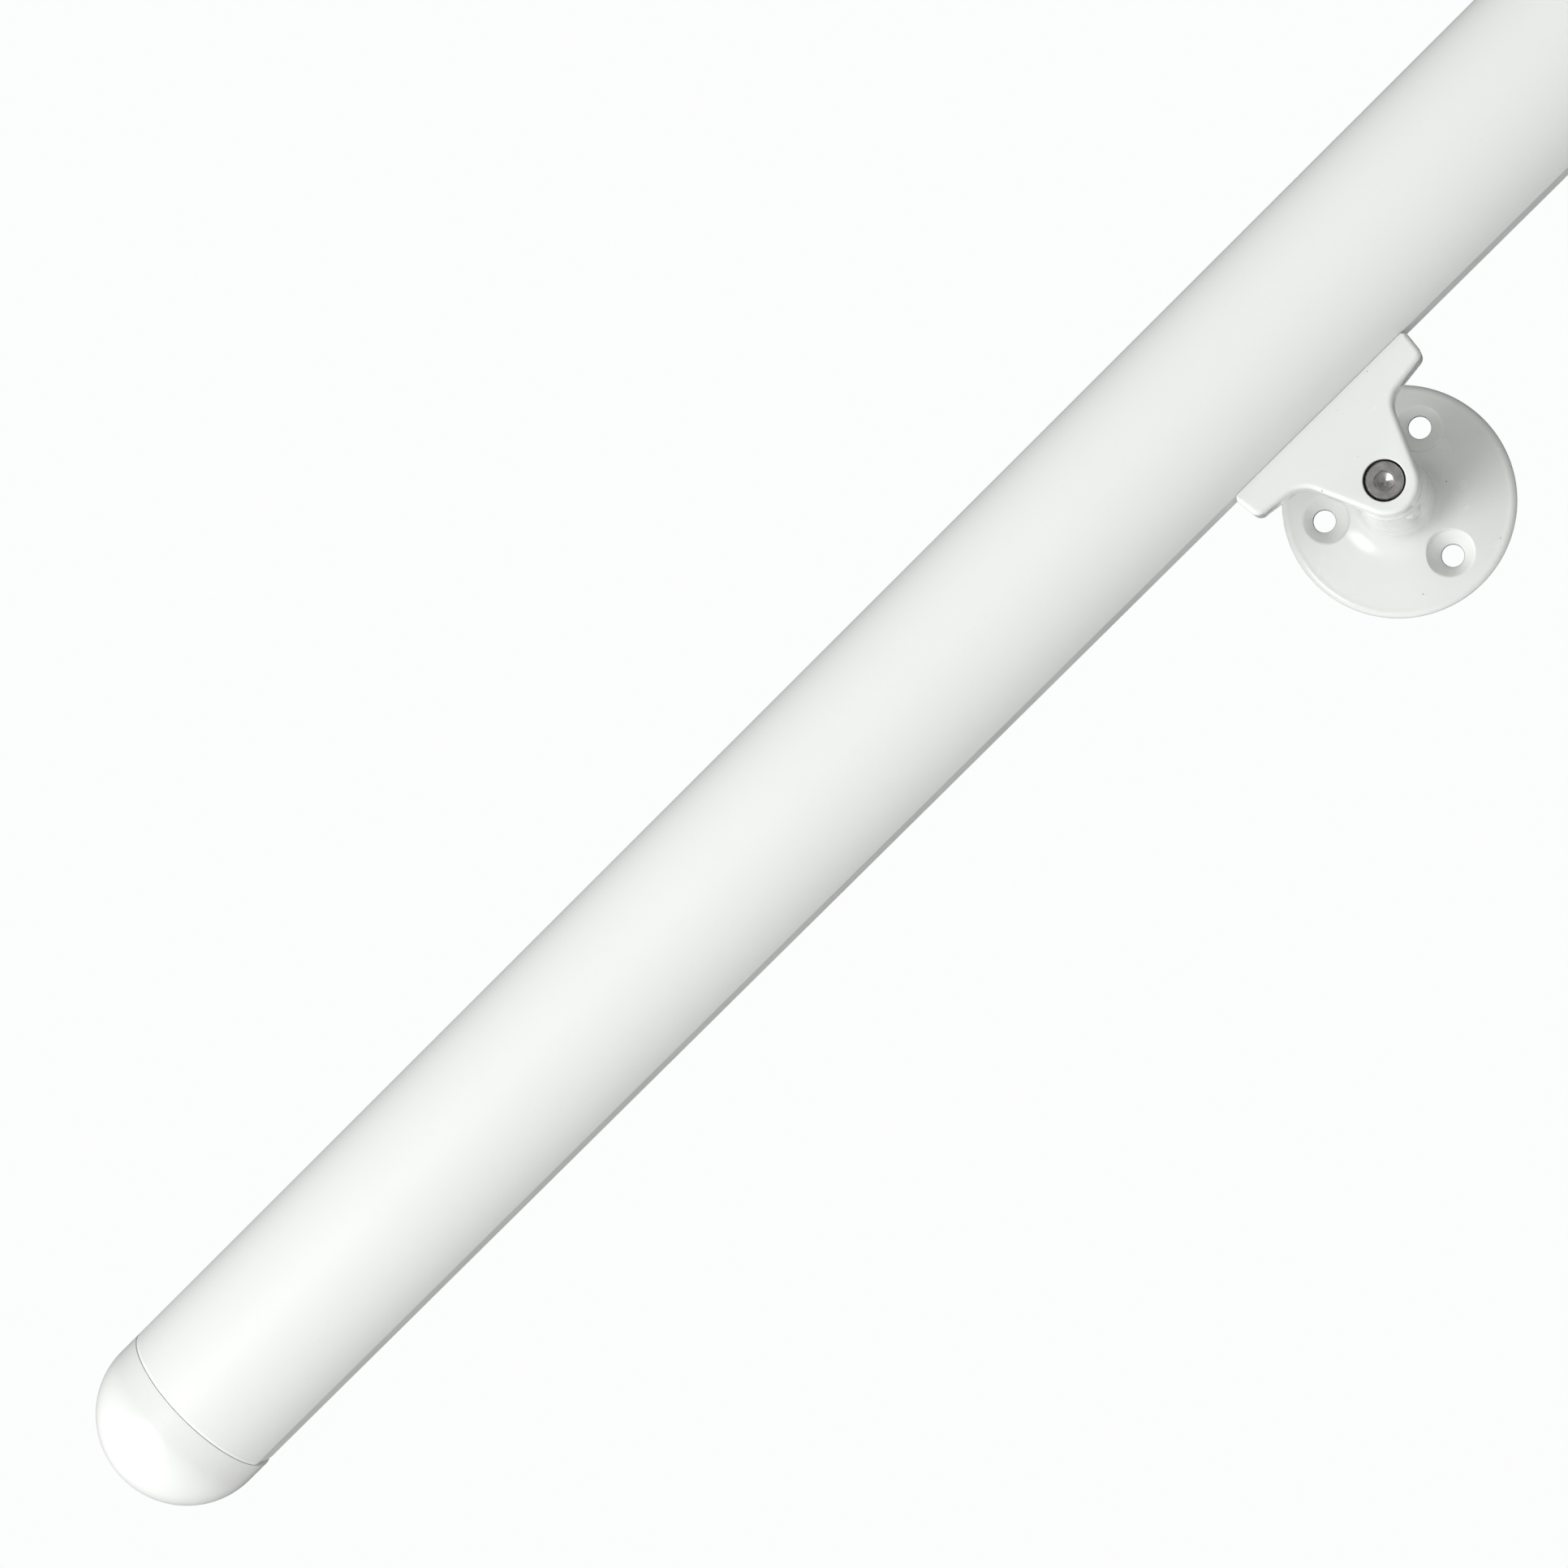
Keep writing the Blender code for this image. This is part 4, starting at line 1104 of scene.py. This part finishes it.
def build_backdrop():
    """A white dome far round the object, seen behind it but neither lighting it nor mirrored in it."""
    bm = bmesh.new()
    bmesh.ops.create_uvsphere(
        bm, u_segments=BACKDROP_STEPS, v_segments=BACKDROP_STEPS // 2, radius=BACKDROP_RADIUS)
    backdrop = bpy.data.objects.new("backdrop", finished_mesh("backdrop", bm))
    backdrop.visible_diffuse = False
    backdrop.visible_glossy = False
    backdrop.visible_shadow = False
    glow = bpy.data.materials.new("backdrop")
    glow.use_nodes = True
    tree = glow.node_tree
    tree.nodes.remove(tree.nodes["Principled BSDF"])
    light = link_new(tree, "ShaderNodeEmission", {"Color": (*BACKDROP_WHITE, 1)})
    tree.links.new(light.outputs["Emission"], tree.nodes["Material Output"].inputs["Surface"])
    backdrop.data.materials.append(glow)
    bpy.context.scene.collection.objects.link(backdrop)


def build_floor():
    """A plain pale disc under the object that fades out towards its edge and is clear from below."""
    bm = bmesh.new()
    bmesh.ops.create_circle(bm, cap_ends=True, segments=FLOOR_STEPS, radius=FLOOR_RADIUS)
    floor = bpy.data.objects.new("floor", finished_mesh("floor", bm))
    floor.location.z = FLOOR_HEIGHT
    finish, tree, shader, place = new_finish("floor")
    tone = blended(tree, spread(tree, noise(tree, place, 1.5), 0, 1), FLOOR_SHADE, FLOOR_LIGHT)
    rough = spread(tree, noise(tree, place, 4.0), 0.7, 0.8)
    dress(tree, shader, tone, rough, bumped(tree, noise(tree, place, 60.0), 0.2 * MM))
    reach = link_new(tree, "ShaderNodeVectorMath", {0: place}, operation="LENGTH").outputs["Value"]
    faded = spread(tree, reach, 0, 1, FLOOR_FADE_START, FLOOR_RADIUS)
    under = tree.nodes.new("ShaderNodeNewGeometry").outputs["Backfacing"]
    clear = link_new(tree, "ShaderNodeMath", {0: faded, 1: under}, operation="MAXIMUM").outputs["Value"]
    surface = link_new(tree, "ShaderNodeMixShader", {"Fac": clear})
    tree.links.new(shader.outputs["BSDF"], surface.inputs[1])
    tree.links.new(tree.nodes.new("ShaderNodeBsdfTransparent").outputs["BSDF"], surface.inputs[2])
    tree.links.new(surface.outputs["Shader"], tree.nodes["Material Output"].inputs["Surface"])
    floor.data.materials.append(finish)
    bpy.context.scene.collection.objects.link(floor)


def build_light():
    """A pale sky, darker to the right and behind, a large soft key light and a fill for the back."""
    world = bpy.data.worlds.new("studio")
    world.use_nodes = True
    tree = world.node_tree
    direction = tree.nodes.new("ShaderNodeTexCoord").outputs["Generated"]
    lean = link_new(tree, "ShaderNodeVectorMath", {0: direction, 1: SKY_LEAN}, operation="DOT_PRODUCT")
    sky = link_new(tree, "ShaderNodeMath", {0: lean.outputs["Value"], 1: SKY_BASE}, operation="ADD")
    sky = link_new(tree, "ShaderNodeMath", {0: sky.outputs["Value"], 1: 0.0}, operation="MAXIMUM")
    tree.links.new(sky.outputs["Value"], tree.nodes["Background"].inputs["Strength"])
    tree.nodes["Background"].inputs["Color"].default_value = (1, 1, 1, 1)
    bpy.context.scene.world = world
    add_lamp("key", KEY_PLACE, KEY_SIZE, KEY_POWER)
    back_light = add_lamp("fill", FILL_PLACE, FILL_SIZE, FILL_POWER)
    back_light.visible_glossy = False
    bpy.context.scene.view_settings.view_transform = "Standard"


def add_lamp(name, location, size, power):
    """A round soft light that faces the bracket end of the rail."""
    lamp = bpy.data.lights.new(name, "AREA")
    lamp.shape = "DISK"
    lamp.size = size
    lamp.energy = power
    holder = bpy.data.objects.new(name, lamp)
    holder.location = location
    holder.rotation_euler = (LIGHT_AIM - location).to_track_quat("-Z", "Y").to_euler()
    holder.visible_camera = False
    bpy.context.scene.collection.objects.link(holder)
    return holder


def build_camera():
    """A camera just below the rail, rolled so that the rail rises across the frame."""
    lens = bpy.data.cameras.new("camera")
    lens.lens = CAMERA_LENS
    camera = bpy.data.objects.new("camera", lens)
    camera.location = CAMERA_PLACE
    aim = (CAMERA_AIM - CAMERA_PLACE).to_track_quat("-Z", "Y")
    camera.rotation_mode = "QUATERNION"
    camera.rotation_quaternion = aim @ Quaternion((0, 0, 1), CAMERA_ROLL)
    bpy.context.scene.collection.objects.link(camera)
    bpy.context.scene.camera = camera


def main():
    """Build the pieces round the CAD frame, then the stage."""
    build_camera()
    tube_coat = powder_coat("white_powder_coat", TUBE_LIGHT, TUBE_SHADE, TUBE_ROUGHNESS)
    cap_coat = powder_coat("white_cap", CAP_LIGHT, CAP_SHADE, CAP_ROUGHNESS)
    casting_coat = cast_coat("white_cast_coat", CAST_LIGHT, CAST_SHADE, CAST_ROUGHNESS)
    steel = turned_steel("stainless_steel")
    zinc = zinc_plate("zinc_plated_steel")
    polyamide = moulded_polyamide("black_polyamide")
    build_rail(tube_coat, cap_coat, polyamide, zinc)
    build_saddles(casting_coat, zinc)
    build_brackets(casting_coat, steel, polyamide)
    build_backdrop()
    build_floor()
    build_light()


main()
